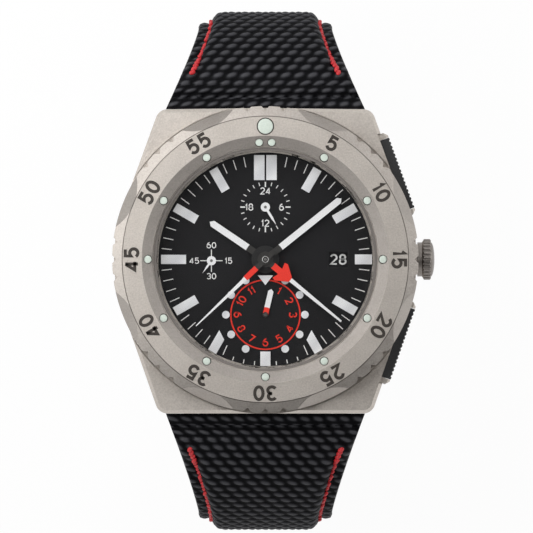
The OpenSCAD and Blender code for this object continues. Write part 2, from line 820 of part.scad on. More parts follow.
module balance_wheel() {
    color([0.85, 0.75, 0.45]) translate([balance_p[0], balance_p[1], 0]) {
        translate([0, 0, balance_z]) difference() {
            cylinder(r = 2.35, h = 0.3);
            for (i = [0:2]) rotate([0, 0, 120 * i]) translate([1.15, 0, -cut])
                cylinder(r = 0.82, h = 1 + cut, $fn = 48);
        }
        translate([0, 0, bridge_z + 0.2])
            cylinder(r = pivot_r, h = plate_bottom + 0.6 - bridge_z - 0.2, $fn = 24);
    }
}

// A flat spiral from the collet out to the stud on the cock
module hairspring() {
    turns = 5;
    pitch = 0.3;
    from = stud_x - turns * pitch;
    n = 24;
    function spiral(side) = [for (i = [0:turns * n])
        (from + pitch * i / n + side * 0.04) * [cos(360 * i / n), sin(360 * i / n)]];
    color("steelblue") translate([balance_p[0], balance_p[1], balance_z - 0.35]) {
        linear_extrude(0.2) polygon(concat(spiral(1), back_to_front(spiral(-1))));
        translate([stud_x, 0, -0.25]) cylinder(r = 0.12, h = 0.45, $fn = 24);
    }
}

module balance_cock() {
    color([0.78, 0.76, 0.7]) difference() {
        union() {
            translate([0, 0, bridge_z]) linear_extrude(0.5) cock_outline(0);
            translate([cock_foot[0], cock_foot[1], bridge_z])
                cylinder(r = 0.6, h = plate_bottom - bridge_z, $fn = 32);
        }
        translate([balance_p[0], balance_p[1], bridge_z - cut])
            cylinder(r = pivot_r + pivot_play, h = 1 + cut, $fn = 24);
        translate([balance_p[0] + stud_x, balance_p[1], balance_z - 0.6])
            cylinder(r = 0.13, h = 1, $fn = 24);
    }
}

module chrono_seconds_wheel() {
    color([0.85, 0.75, 0.4]) {
        wheel_at([0, 0], chrono_z, 3, 40, chrono_arbor_r / 2);
        translate([0, 0, chrono_z - 0.1])
            cylinder(r = chrono_arbor_r, h = sweep_z + hand_t + 0.2 - chrono_z, $fn = 24);
    }
}

module chrono_minutes_wheel() {
    top = arrow_z + hand_t + 0.05;
    color([0.85, 0.75, 0.4]) {
        wheel_at([0, 0], counter_z, 4.9, 50, chrono_arbor_r + 0.15);
        translate([0, 0, counter_z - 0.05])
            tube(arrow_tube_r, chrono_arbor_r + 0.1, top - counter_z + 0.05, $fn = 32);
    }
}

module hour_counter_wheel() {
    color([0.85, 0.75, 0.4]) {
        wheel_at(counter_p, counter_z, 3.3, 36, sub_arbor_r / 2);
        sub_arbor(counter_p, counter_z - 0.15);
    }
}

module cannon_pinion() {
    top = minute_z + hand_t + 0.05;
    color("silver") translate([0, 0, centre_z - 0.1])
        tube(cannon_r, arrow_tube_r + 0.1, top - centre_z + 0.1, $fn = 48);
}

module hour_wheel() {
    z = plate_top + 0.1;
    color([0.85, 0.75, 0.4]) {
        wheel_at([0, 0], z, 2.63, 32, cannon_r + 0.2);
        translate([0, 0, z]) tube(hour_tube_r, cannon_r + 0.1, hand_z + hand_t + 0.02 - z, $fn = 48);
    }
}

module day_night_wheel() {
    color([0.85, 0.75, 0.4]) {
        wheel_at(day_night_p, plate_top + 0.1, 5.25, 64, sub_arbor_r / 2);
        sub_arbor(day_night_p, plate_top - 0.9);
    }
}

// The winding rotor turns on the middle post of its bridge, with a heavy rim round half its edge
module winding_rotor() {
    color([0.7, 0.68, 0.62]) difference() {
        translate([0, 0, rotor_z]) {
            intersection() {
                union() {
                    cylinder(r = rotor_r, h = rotor_t);
                    tube(rotor_r, rotor_r - rotor_rim_w, rotor_rim_h);
                }
                translate([-rotor_r, -rotor_r, 0]) cube([2 * rotor_r, rotor_r, rotor_rim_h]);
            }
            cylinder(r = rotor_hub_r, h = rotor_t);
        }
        translate([0, 0, rotor_z - cut])
            cylinder(r = rotor_post_r + run_gap, h = 2 * cut, $fn = 48);
    }
}

module rotor_bridge() {
    foot_r = 0.9;
    foot_x = rotor_r - rotor_rim_w - foot_r - 1.1;
    end_x = foot_x + foot_r + 0.2;
    color([0.78, 0.76, 0.7]) {
        translate([-end_x, -2, rotor_bridge_z]) cube([2 * end_x, 4, 0.5]);
        translate([0, 0, rotor_z - 0.1])
            cylinder(r = rotor_post_r, h = rotor_bridge_z - rotor_z + 0.2, $fn = 48);
        for (side = [-1, 1]) translate([side * foot_x, 0, rotor_bridge_z])
            cylinder(r = foot_r, h = bridge_z - rotor_bridge_z, $fn = 32);
    }
}

module movement_screws() {
    color("steelblue") for (p = pillars) translate([p[0], p[1], 0]) difference() {
        union() {
            translate([0, 0, bridge_z - 0.4]) cylinder(r = 0.8, h = 0.4, $fn = 32);
            translate([0, 0, bridge_z - 0.1]) cylinder(r = movement_screw_r, h = 2.2, $fn = 24);
        }
        translate([-1, -0.1, bridge_z - 0.4 - cut]) cube([2, 0.2, cut + 0.2]);
    }
}

// Case back

module case_back() {
    color([0.6, 0.58, 0.55]) difference() {
        rotate_extrude($fn = 180) polygon([
            [0, back_z], [back_r - 0.6, back_z], [back_r, back_z + 0.6], [back_r, case_z],
            [cavity_r - 0.1, case_z], [cavity_r - 0.1, case_z + 0.8], [cavity_r - 0.8, case_z + 0.8],
            [cavity_r - 0.8, back_z + back_t], [0, back_z + back_t]
        ]);
        translate([0, 0, case_z - gasket_t]) tube(gasket_out_r, gasket_in_r, 1);
        for (p = screw_places) translate([p[0], p[1], back_z - cut]) {
            cylinder(r = screw_r + seat_gap, h = 4, $fn = 32);
            cylinder(r = 0.9, h = cut + 0.7, $fn = 32);
        }
    }
}

module case_back_screws() {
    color("silver") for (p = screw_places) translate([p[0], p[1], 0]) difference() {
        union() {
            translate([0, 0, back_z + 0.1]) cylinder(r = 0.85, h = 0.55, $fn = 32);
            translate([0, 0, back_z + 0.5]) cylinder(r = screw_r, h = 2.4, $fn = 32);
        }
        translate([-1, -0.12, back_z - cut + 0.1]) cube([2, 0.24, cut + 0.3]);
    }
}

module head_screws() {
    case_back_screws();
    movement_screws();
}

// Crown and pushers

module winding_stem() {
    color("silver") translate([0, 0, stem_z]) difference() {
        x_rod(stem_r, stem_in, crown_bore);
        // groove of the setting lever
        difference() {
            x_rod(1, stem_in + 2, stem_in + 2.6);
            x_rod(0.3, stem_in, stem_in + 4);
        }
    }
}

module crown() {
    flutes = 28;
    color([0.5, 0.48, 0.45]) translate([0, 0, stem_z]) difference() {
        union() {
            x_rod(crown_neck_r, crown_in, crown_step + 0.1);
            rotate([0, 90, 0]) rotate_extrude() polygon(concat(
                [[0, crown_step - 0.3], [crown_neck_r, crown_step - 0.3], [crown_r, crown_step]],
                [[crown_r, crown_step + crown_l - 0.15], [crown_r - 0.2, crown_step + crown_l]],
                [for (a = steps(0, 90, 8)) [
                    crown_neck_r * cos(a),
                    crown_step + crown_l + crown_dome * sin(a)
                ]]
            ));
        }
        x_rod(tube_r + 0.1, crown_in - cut, crown_bore);
        for (i = [0:flutes - 1]) rotate([360 / flutes * i, 0, 0]) translate([0, 0, crown_r])
            x_rod(0.2, crown_step - 0.2, crown_step + crown_l - 0.02, $fn = 16);
    }
}

module crown_gasket() {
    color("dimgray") translate([0, 0, stem_z]) difference() {
        x_rod(tube_bore_r - 0.03, case_r - 1.8, case_r - 1);
        x_rod(stem_r + 0.04, case_r - 3, case_r);
    }
}

module pusher(upper) {
    inlay_l = pusher_l - 1.8;
    inner = pusher_travel + 0.15 - pocket_depth;
    color([0.6, 0.58, 0.55]) on_flank(upper) difference() {
        union() {
            translate([inner, -pusher_l / 2, -pusher_h / 2])
                cube([pusher_out - inner, pusher_l, pusher_h]);
            x_rod(pusher_stem_r, -5, 0, $fn = 48);
        }
        // edges of the outer face
        for (side = [-1, 1]) {
            translate([pusher_out, 0, side * pusher_h / 2]) rotate([0, 45, 0])
                cube([0.5, 20, 0.5], center = true);
            translate([pusher_out, side * pusher_l / 2, 0]) rotate([0, 0, 45])
                cube([0.8, 0.8, 20], center = true);
        }
        // bed of the rubber inlay, deeper at its lips, and room for the spring when pressed
        translate([pusher_out - inlay_bed, -inlay_l / 2, -pusher_h]) cube([2, inlay_l, 2 * pusher_h]);
        for (z = [pusher_h / 2 - lip_h, -1.5 * pusher_h + lip_h])
            translate([pusher_out - inlay_lip, -inlay_l / 2, z]) cube([2, inlay_l, pusher_h]);
        difference() {
            x_rod(spring_r + 0.15, inner - cut, inner + pusher_travel + 0.1);
            x_rod(pusher_stem_r, inner - 2 * cut, inner + 2 * cut, $fn = 48);
        }
    }
}

module pusher_inlay(upper) {
    l = pusher_l - 1.9;
    h = pusher_h - 0.1;
    lip = lip_h - 0.1;
    ribs = floor((l - rib_w) / rib_pitch);
    color([0.1, 0.1, 0.1]) on_flank(upper) {
        translate([pusher_out - inlay_bed, -l / 2, -h / 2]) cube([inlay_bed - rib_ground, l, h]);
        for (z = [-h / 2, h / 2 - lip]) translate([pusher_out - inlay_lip, -l / 2, z])
            cube([inlay_lip - 0.2, l, lip]);
        for (i = [0:ribs]) {
            y = (i - ribs / 2) * rib_pitch - rib_w / 2;
            translate([pusher_out - inlay_bed, y, -h / 2])
                cube([inlay_bed - rib_ground + rib_h, rib_w, h]);
        }
    }
}

module pusher_upper() {
    pusher(true);
}

module pusher_lower() {
    pusher(false);
}

module pusher_upper_inlay() {
    pusher_inlay(true);
}

module pusher_lower_inlay() {
    pusher_inlay(false);
}

// A coil of round wire along X, swept as rings of six points
module coil(r, wire, x_from, x_to, turns) {
    n = turns * 16;
    sides = 6;
    points = [for (i = [0:n], k = [0:sides - 1])
        let (a = 360 * i / 16, b = 360 * k / sides, q = r + wire * cos(b))
        [x_from + (x_to - x_from) * i / n + wire * sin(b), q * cos(a), q * sin(a)]];
    faces = concat(
        [[for (k = [0:sides - 1]) k]],
        [[for (k = [sides - 1:-1:0]) n * sides + k]],
        [for (i = [0:n - 1], k = [0:sides - 1]) let (m = (k + 1) % sides)
            [i * sides + k, (i + 1) * sides + k, (i + 1) * sides + m]],
        [for (i = [0:n - 1], k = [0:sides - 1]) let (m = (k + 1) % sides)
            [i * sides + k, (i + 1) * sides + m, i * sides + m]]
    );
    polyhedron(points, faces);
}

module pusher_springs() {
    color("silver") for (upper = [true, false]) on_flank(upper)
        coil(spring_r - spring_wire, spring_wire, -pocket_depth - 1.3, -pocket_depth + 0.75, 6);
}

// Spring bars

module spring_bars() {
    color("silver") for (bar = [[bar_12[0], bar_12[1]], [-bar_6[0], bar_6[1]]])
        translate([0, bar[0], bar[1]]) x_rod(bar_r, -lug_x - lug_w / 2, lug_x + lug_w / 2);
}

// Covers that close the gap between the case's ends and the strap, over the lugs
module strap_cover(bar) {
    in_y = bar[0] - bar_gap - strap_end_r - 1;
    out_y = bar[0] - cover_short;
    low = bar[1] + 0.75;
    high = bar[1] + 3.6;
    across(0, cover_w) difference() {
        polygon([[in_y, low], [in_y, high], [in_y + 1.6, high], [out_y, high - 0.8], [out_y, low]]);
        translate(bar) circle(r = strap_end_r + 0.1);
    }
}

module strap_covers() {
    color([0.1, 0.1, 0.11]) difference() {
        union() {
            strap_cover(bar_12);
            mirror([0, 1, 0]) strap_cover(bar_6);
        }
        translate([0, 0, case_z]) linear_extrude(case_h) case_outline(0);
    }
}

// Strap. Both halves are drawn towards 12 o'clock in the plane of Y and Z; the 6 o'clock half
// is mirrored. A half's line is [upper arc, side arc, lower arc], each [centre, radius, from, to].

function strap_line(bar, reach, pivot, down_turn) = let (
    out = reach - strap_end_r,
    r = (out - bar[0]) / (1 - cos(top_turn)),
    top_c = [out - r, bar[1] - r * sin(top_turn)],
    side_c = [out - down_r, top_c[1]],
    u = [cos(down_turn), -sin(down_turn)],
    d = pivot - side_c,
    k = (down_r * down_r - d * d) / (2 * (down_r - d * u)),
    low_c = side_c + k * u,
    e = pivot - low_c
) [
    [top_c, r, top_turn, 0],
    [side_c, down_r, 0, -down_turn],
    [low_c, down_r - k, -down_turn, atan2(e[1], e[0])]
];

// Points of a strap's line moved outwards by a distance; the ends may be cut short in mm
function line_points(line, out, skip_top, skip_low) = let (
    top_cut = skip_top / line[0][1] * 180 / PI,
    low_cut = skip_low / line[2][1] * 180 / PI
) concat(
    arc(line[0][0], line[0][1] + out, steps(line[0][2] - top_cut, line[0][3], 10)),
    arc(line[1][0], line[1][1] + out, steps(line[1][2], line[1][3], 6)),
    arc(line[2][0], line[2][1] + out, steps(line[2][2], line[2][3] + low_cut, 8))
);

module layer(line, from, to, skip_top, skip_low) {
    polygon(concat(line_points(line, to, skip_top, skip_low),
        back_to_front(line_points(line, from, skip_top, skip_low))));
}

// Widths seen from above: wide at the case, narrowing to where the strap runs down
module taper(end_y, line, inset) {
    out = line[0][0][0] + line[0][1];
    side = [for (t = steps(0, 1, 8)) [
        (strap_low_w + (strap_w - strap_low_w) * pow(1 - t, taper_power)) / 2 - inset,
        end_y + (out - end_y) * t
    ]];
    z = line[0][0][1];
    translate([0, 0, z]) linear_extrude(case_top - z) polygon(concat(
        [[strap_w / 2 - inset, end_y - 3]], side,
        [[strap_low_w / 2 - inset, out + 5], [inset - strap_low_w / 2, out + 5]],
        [for (i = [len(side) - 1:-1:0]) [-side[i][0], side[i][1]]],
        [[inset - strap_w / 2, end_y - 3]]
    ));
    translate([inset - strap_low_w / 2, 0, -cut])
        cube([strap_low_w - 2 * inset, out + 5, z + cut]);
}

module tail(low) {
    start = low[3] + (tail_l + 1) / low[1] * 180 / PI;
    polygon(concat(arc(low[0], low[1] + tail_half, steps(start, low[3], 4)),
        arc(low[0], low[1] - tail_half, steps(low[3], start, 4))));
}

module strap_half(line, end_y, bar, pivot, loop_in, loop_out) {
    lug_space = lug_r + 0.25;
    difference() {
        union() {
            intersection() {
                across(0, strap_w) layer(line, lining_t - strap_in, flange_out, 0, tail_l);
                taper(end_y, line, 0);
            }
            intersection() {
                across(0, strap_w) layer(line, 0, pad_out, 1.2, tail_l + 0.4);
                taper(end_y, line, pad_inset);
            }
            intersection() {
                across(0, strap_w) translate(bar) circle(r = strap_end_r);
                taper(end_y, line, 0);
            }
            // tail with the loops that the clasp's pin goes through
            across(0, 2 * loop_out) tail(line[2]);
            across(0, 2 * loop_out) translate(pivot) circle(r = loop_r);
        }
        // notches for the lugs, wide enough for the strap's swing
        for (side = [-1, 1]) across(side * lug_x, lug_w + 0.5) translate(bar) {
            circle(r = lug_space);
            polygon(concat([[0, 0]], arc([0, 0], 6, steps(118, 250, 4))));
        }
        translate([0, bar[0], bar[1]]) x_rod(bar_r + run_gap, -strap_w, strap_w);
        translate([0, pivot[0], pivot[1]]) x_rod(pin_r + 0.01, -strap_w, strap_w);
        if (loop_in > 0) across(0, 2 * loop_in) translate(pivot) circle(r = knuckle_r + 0.8);
    }
}

module lining(line, end_y, bar) {
    color([0.12, 0.11, 0.11]) intersection() {
        across(0, strap_w) difference() {
            layer(line, -strap_in, lining_t - strap_in, 0, tail_l);
            translate(bar) circle(r = strap_end_r + 0.9);
        }
        taper(end_y, line, 0.6);
    }
}

module strap_12() {
    color([0.1, 0.1, 0.11])
        strap_half(line_12, end_12, bar_12, pivot_a, base_knuckle_x + 0.2, loop_12_x);
}

module strap_12_lining() {
    lining(line_12, end_12, bar_12);
}

module strap_6() {
    color([0.1, 0.1, 0.11]) mirror([0, 1, 0])
        strap_half(line_6, end_6, bar_6, pivot_d_out, 0, cover_in - 0.4);
}

module strap_6_lining() {
    mirror([0, 1, 0]) lining(line_6, end_6, bar_6);
}

module pin_at(pivot, half) {
    translate([0, pivot[0], pivot[1]]) x_rod(pin_r, -half, half, $fn = 32);
}

module strap_12_pin() {
    color("silver") pin_at(pivot_a, loop_12_x);
}

module strap_6_pin() {
    color("silver") pin_at(pivot_d, cover_x);
}

// Folding clasp

// A stretch of a flat plate along the line between two pivots
module link(p, q, from, to) {
    d = q - p;
    translate(p) rotate(atan2(d[1], d[0])) translate([from, -plate_t / 2]) square([to - from, plate_t]);
}

module clasp_base() {
    l = norm(pivot_a - pivot_b);
    color([0.7, 0.69, 0.67]) difference() {
        union() {
            across(0, 2 * plate_x) link(pivot_b, pivot_a, finger_l, l - 2.6);
            across(0, 2 * base_finger_x) {
                link(pivot_b, pivot_a, 0, finger_l + 1);
                translate(pivot_b) circle(r = knuckle_r);
            }
            across(0, 2 * base_knuckle_x) {
                link(pivot_b, pivot_a, l - 3, l);
                translate(pivot_a) circle(r = knuckle_r);
            }
        }
        for (p = [pivot_a, pivot_b]) translate([0, p[0], p[1]])
            x_rod(pin_r + run_gap, -plate_x - cut, plate_x + cut);
    }
}

module clasp_leaf() {
    l = norm(pivot_c - pivot_b);
    finger_in = base_finger_x + 0.3;
    color([0.7, 0.69, 0.67]) difference() {
        union() {
            across(0, 2 * plate_x) {
                link(pivot_b, pivot_c, finger_l, l);
                translate(pivot_c) circle(r = knuckle_r);
            }
            for (side = [-1, 1]) across(side * (plate_x + finger_in) / 2, plate_x - finger_in) {
                link(pivot_b, pivot_c, 0, finger_l + 1);
                translate(pivot_b) circle(r = knuckle_r);
            }
        }
        for (p = [pivot_b, pivot_c]) translate([0, p[0], p[1]])
            x_rod(pin_r + 0.01, -plate_x - cut, plate_x + cut);
    }
}

module clasp_cover() {
    low_y = pivot_d[0] + 2;
    color([0.7, 0.69, 0.67]) difference() {
        union() {
            translate([-cover_x, low_y, 0]) cube([2 * cover_x, pivot_c[0] + 1.2 - low_y, cover_t]);
            for (side = [-1, 1]) across(side * (cover_in + cover_t / 2), cover_t) polygon([
                [low_y, 0], [pivot_c[0] + 1, 0], [pivot_c[0] + 1.5, 0.5],
                [pivot_c[0] + 1.5, 3.2], [pivot_c[0] + 0.8, wall_z], [pivot_d[0] + 6, wall_z],
                [pivot_d[0] + 2.5, pivot_d[1] + 1.4], [pivot_d[0] - 1.6, pivot_d[1] + 1.4],
                [pivot_d[0] - 1.8, pivot_d[1] - 1]
            ]);
        }
        translate([0, pivot_c[0], pivot_c[1]]) x_rod(pin_r + run_gap, -cover_x - cut, cover_x + cut);
        // open ears at the strap's pin
        across(0, 2 * cover_x + 2 * cut) translate(pivot_d) {
            circle(r = pin_r + 0.15);
            polygon([[-0.75, 0], [0.75, 0], [1.2, 3], [-3.4, 3]]);
        }
        translate([0, button_y, button_z]) x_rod(button_r + run_gap, -cover_x - cut, cover_x + cut);
    }
}

module clasp_pins() {
    color("silver") {
        pin_at(pivot_b, plate_x);
        pin_at(pivot_c, cover_x);
    }
}

module clasp_button(side) {
    color([0.6, 0.59, 0.57]) translate([0, button_y, button_z]) mirror([side < 0 ? 1 : 0, 0, 0]) {
        x_rod(button_r, plate_x + button_travel + 0.3, cover_x + button_travel + 0.4);
        x_rod(button_r + 0.4, cover_x + button_travel + 0.05, cover_x + button_travel + 0.4);
    }
}

module clasp_button_left() {
    clasp_button(-1);
}

module clasp_button_right() {
    clasp_button(1);
}

case_middle();
crown_tube();
bezel();
bezel_click_ring();
crystal();
case_gaskets();
dial();
dial_markers();
date_disc();
hour_hand();
minute_hand();
chrono_seconds_hand();
chrono_minutes_hand();
small_seconds_hand();
day_night_hand();
hour_counter_hand();
movement_ring();
main_plate();
train_bridge();
rotor_bridge();
barrel();
centre_wheel();
third_wheel();
fourth_wheel();
escape_wheel();
pallet_fork();
balance_wheel();
hairspring();
balance_cock();
chrono_seconds_wheel();
chrono_minutes_wheel();
hour_counter_wheel();
cannon_pinion();
hour_wheel();
day_night_wheel();
winding_rotor();
winding_stem();
crown();
crown_gasket();
pusher_upper();
pusher_lower();
pusher_upper_inlay();
pusher_lower_inlay();
pusher_springs();
case_back();
head_screws();
spring_bars();
strap_covers();
strap_12();
strap_12_lining();
strap_12_pin();
strap_6();
strap_6_lining();
strap_6_pin();
clasp_base();
clasp_leaf();
clasp_cover();
clasp_pins();
clasp_button_left();
clasp_button_right();
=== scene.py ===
import math

import bmesh
import bpy
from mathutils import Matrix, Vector


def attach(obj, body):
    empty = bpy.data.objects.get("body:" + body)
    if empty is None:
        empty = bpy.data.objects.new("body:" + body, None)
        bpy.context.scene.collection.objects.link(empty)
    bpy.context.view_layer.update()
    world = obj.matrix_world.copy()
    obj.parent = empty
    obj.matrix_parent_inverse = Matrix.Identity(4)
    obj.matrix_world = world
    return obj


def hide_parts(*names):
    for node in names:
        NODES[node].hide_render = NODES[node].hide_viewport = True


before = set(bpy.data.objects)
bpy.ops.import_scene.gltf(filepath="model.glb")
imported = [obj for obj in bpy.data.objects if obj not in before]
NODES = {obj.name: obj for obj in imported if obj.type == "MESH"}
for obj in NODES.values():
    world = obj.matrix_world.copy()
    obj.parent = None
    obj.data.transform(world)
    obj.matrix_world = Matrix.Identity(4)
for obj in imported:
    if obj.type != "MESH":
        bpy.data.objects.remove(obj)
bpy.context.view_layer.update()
scene = bpy.context.scene
scene.view_settings.view_transform = "Standard"

MM = 0.001

# Heights and radii of the head, in millimetres, as the CAD has them
DISC_TOP = 59.95
DIAL_TOP = 60.6
SWEEP_TOP = 62.35
BEZEL_TOP = 65.25
BAND_IN_R = 18.75
BAND_OUT_R = 21.7
SLOPE_FALL = 0.55 / 1.6

# Where the dial's openings and counters lie
DATE_X = 11.07
SUB_12 = (0.0, 7.95)
SUB_9 = (-8.2, -0.2)
SUB_6 = (0.0, -8.4)


def at_clock(angle, r, centre=(0.0, 0.0)):
    """Point at an angle clockwise from 12 o'clock."""
    a = math.radians(angle)
    return centre[0] + r * math.sin(a), centre[1] + r * math.cos(a)


# Materials

class Tree:
    """Short forms for building a tree of shader nodes."""

    def __init__(self, owner):
        owner.use_nodes = True
        self.tree = owner.node_tree
        self.tree.nodes.clear()

    def add(self, kind):
        return self.tree.nodes.new(kind)

    def link(self, a, b):
        self.tree.links.new(a, b)

    def put(self, value, socket):
        """A number or colour is set on the socket, and an output is linked to it."""
        if isinstance(value, bpy.types.NodeSocket):
            self.link(value, socket)
        elif socket.type == "RGBA":
            socket.default_value = (*value, 1.0)
        elif value is not None:
            socket.default_value = value

    def math(self, op, a, b=None, c=None):
        n = self.add("ShaderNodeMath")
        n.operation = op
        for value, socket in zip((a, b, c), n.inputs):
            self.put(value, socket)
        return n.outputs[0]

    def smooth_range(self, value, low, high, at_low=0.0, at_high=1.0):
        """Runs smoothly from one result to another while the value goes from low to high."""
        n = self.add("ShaderNodeMapRange")
        n.interpolation_type = "SMOOTHSTEP"
        self.put(value, n.inputs["Value"])
        n.inputs["From Min"].default_value = low
        n.inputs["From Max"].default_value = high
        n.inputs["To Min"].default_value = at_low
        n.inputs["To Max"].default_value = at_high
        return n.outputs["Result"]


class Surface(Tree):
    """A material with one Principled shader."""

    def __init__(self, name):
        self.mat = bpy.data.materials.new(name)
        super().__init__(self.mat)
        out = self.add("ShaderNodeOutputMaterial")
        self.bsdf = self.add("ShaderNodeBsdfPrincipled")
        self.link(self.bsdf.outputs[0], out.inputs[0])

    def mix(self, factor, a, b):
        n = self.add("ShaderNodeMix")
        n.data_type = "RGBA"
        self.put(factor, n.inputs["Factor"])
        self.put(a, n.inputs[6])
        self.put(b, n.inputs[7])
        return n.outputs[2]

    def step(self, value, edge, soft):
        """0 below the edge and 1 above it, with a soft rise."""
        return self.smooth_range(value, edge - soft, edge + soft)

    def vary(self, grain, low, high):
        """Goes evenly from low to high as the grain goes from 0 to 1."""
        return self.math("MULTIPLY_ADD", grain, high - low, low)

    def blend(self, *parts):
        """The sum of (value, share) pairs."""
        total = None
        for value, share in parts:
            part = self.math("MULTIPLY", value, share)
            total = self.math("ADD", total, part) if total else part
        return total

    def place(self):
        """X, Y and Z of the surface in millimetres of the row frame at rest."""
        coord = self.add("ShaderNodeTexCoord")
        scale = self.add("ShaderNodeVectorMath")
        scale.operation = "SCALE"
        self.link(coord.outputs["Object"], scale.inputs[0])
        scale.inputs["Scale"].default_value = 1 / MM
        self.vector = scale.outputs[0]
        split = self.add("ShaderNodeSeparateXYZ")
        self.link(self.vector, split.inputs[0])
        return split.outputs

    def stretched(self, along):
        """The place, with each axis scaled by its own share."""
        n = self.add("ShaderNodeVectorMath")
        n.operation = "MULTIPLY"
        self.link(self.vector, n.inputs[0])
        n.inputs[1].default_value = along
        return n.outputs[0]

    def radius(self, xyz, centre=(0.0, 0.0)):
        """Distance from an upright axis, in millimetres."""
        dx = self.math("SUBTRACT", xyz[0], centre[0])
        dy = self.math("SUBTRACT", xyz[1], centre[1])
        return self.math("SQRT", self.math("ADD", self.math("MULTIPLY", dx, dx),
                                           self.math("MULTIPLY", dy, dy)))

    def noise(self, scale, detail=2.0, rough=0.5, vector=None):
        n = self.add("ShaderNodeTexNoise")
        self.link(vector or self.vector, n.inputs["Vector"])
        n.inputs["Scale"].default_value = scale
        n.inputs["Detail"].default_value = detail
        n.inputs["Roughness"].default_value = rough
        return n.outputs["Fac"]

    def bump(self, height, distance, strength=1.0):
        n = self.add("ShaderNodeBump")
        n.inputs["Distance"].default_value = distance * MM
        n.inputs["Strength"].default_value = strength
        self.link(height, n.inputs["Height"])
        self.link(n.outputs[0], self.bsdf.inputs["Normal"])

    def finish(self, colour, rough, metallic=0.0, **more):
        self.put(colour, self.bsdf.inputs["Base Color"])
        self.put(rough, self.bsdf.inputs["Roughness"])
        self.put(metallic, self.bsdf.inputs["Metallic"])
        for key, value in more.items():
            self.put(value, self.bsdf.inputs[key.replace("_", " ").title().replace("Ior", "IOR")])
        return self.mat


GRAIN_ROUGH = 0.1
# Painted shade for the bezel: darker tones for its outer rim and for its inner slope
RIM_SHADE_TONES = (0.34, 0.31, 0.285), (0.46, 0.425, 0.39)
SLOPE_SHADE_TONES = (0.27, 0.25, 0.23), (0.37, 0.34, 0.315)
BAND_LINE = (0.10, 0.09, 0.08)


def blasted(name, colour, dark, rough=0.44, is_bezel=False):
    """Bead-blasted metal: a fine grain in colour, roughness and relief.

    The bezel has a dark line round its band, painted shade on the rim outside it that tones down the
    lamp's highlight there, and painted shade on a rougher slope inside it."""
    m = Surface(name)
    xyz = m.place()
    fine = m.noise(4.0, 3.0, 0.7)
    broad = m.noise(0.25, 2.0)
    grain = m.step(m.blend((fine, 0.75), (broad, 0.25)), 0.5, 0.22)
    tone = m.mix(grain, dark, colour)
    roughness = m.vary(fine, rough - GRAIN_ROUGH, rough + GRAIN_ROUGH)
    if is_bezel:
        r = m.radius(xyz)
        outside_band = m.step(r, BAND_OUT_R, 0.03)
        # Painted shade: the rim outside the band is darker than the rest of the metal
        tone = m.mix(outside_band, tone, m.mix(grain, *RIM_SHADE_TONES))
        off_line = m.math("ABSOLUTE", m.math("SUBTRACT", r, BAND_OUT_R + 0.03))
        tone = m.mix(m.step(off_line, 0.06, 0.05), BAND_LINE, tone)
        outside_slope = m.step(r, BAND_IN_R, 0.05)
        # Painted shade: the slope inside the band is darker, and below it the slope is made rougher
        tone = m.mix(outside_slope, m.mix(grain, *SLOPE_SHADE_TONES), tone)
        roughness = m.math("ADD", roughness, m.vary(outside_slope, 0.16, 0.0))
    m.bump(fine, 0.03)
    return m.finish(tone, roughness, 1.0)


ARBOR_TIP = (0.30, 0.29, 0.28)


def brushed(name, colour, dark, tips=False):
    """Metal with a fine straight grain. Arbors that show above the dial have grey tips."""
    m = Surface(name)
    xyz = m.place()
    grain = m.noise(1.2, 3.0, 0.6, m.stretched((1.0, 14.0, 14.0)))
    m.bump(grain, 0.008)
    tone = m.mix(m.step(grain, 0.5, 0.3), dark, colour)
    if tips:
        tone = m.mix(m.step(xyz[2], DIAL_TOP, 0.05), tone, ARBOR_TIP)
    return m.finish(tone, m.vary(grain, 0.3 - GRAIN_ROUGH, 0.3 + GRAIN_ROUGH), 1.0)


def matte(name, colour, dark, rough=0.6, grain=6.0, depth=0.01, **more):
    """Paint, print, rubber or lume: two near tones in a fine grain."""
    m = Surface(name)
    m.place()
    fine = m.noise(grain, 2.0, 0.6)
    m.bump(fine, depth)
    return m.finish(m.mix(m.step(fine, 0.5, 0.25), dark, colour), rough, **more)


def banded(name, bands, centre=(0.0, 0.0)):
    """A hand's paint, which changes with the distance from its axis: (from radius, colour)."""
    m = Surface(name)
    r = m.radius(m.place(), centre)
    tone = bands[0][1]
    for edge, colour in bands[1:]:
        tone = m.mix(m.step(r, edge, 0.03), tone, colour)
    fine = m.noise(5.0, 2.0)
    m.bump(fine, 0.006)
    shade = m.mix(m.math("MULTIPLY", fine, 0.12), tone, (0.0, 0.0, 0.0))
    return m.finish(shade, 0.45)


def lume_marker():
    """Pale lume in the applied markers, with soft grey bands across the dial."""
    m = Surface("lume_marker")
    xyz = m.place()
    across = m.math("SUBTRACT", xyz[0], xyz[1])
    wave = m.math("SINE", m.math("MULTIPLY", across, 1.3))
    grey = m.math("MULTIPLY_ADD", wave, 0.5, 0.5)
    m.bump(m.noise(6.0, 2.0), 0.008)
    tone = m.mix(m.math("MULTIPLY", grey, 0.55), (0.86, 0.87, 0.88), (0.58, 0.59, 0.62))
    return m.finish(tone, 0.4)


def crystal_glass():
    """Clear sapphire, faintly uneven in gloss."""
    m = Surface("sapphire")
    m.place()
    rough = m.vary(m.noise(0.2, 1.0), 0.01, 0.02)
    return m.finish((0.01, 0.01, 0.012), rough, alpha=0.06, ior=1.5)


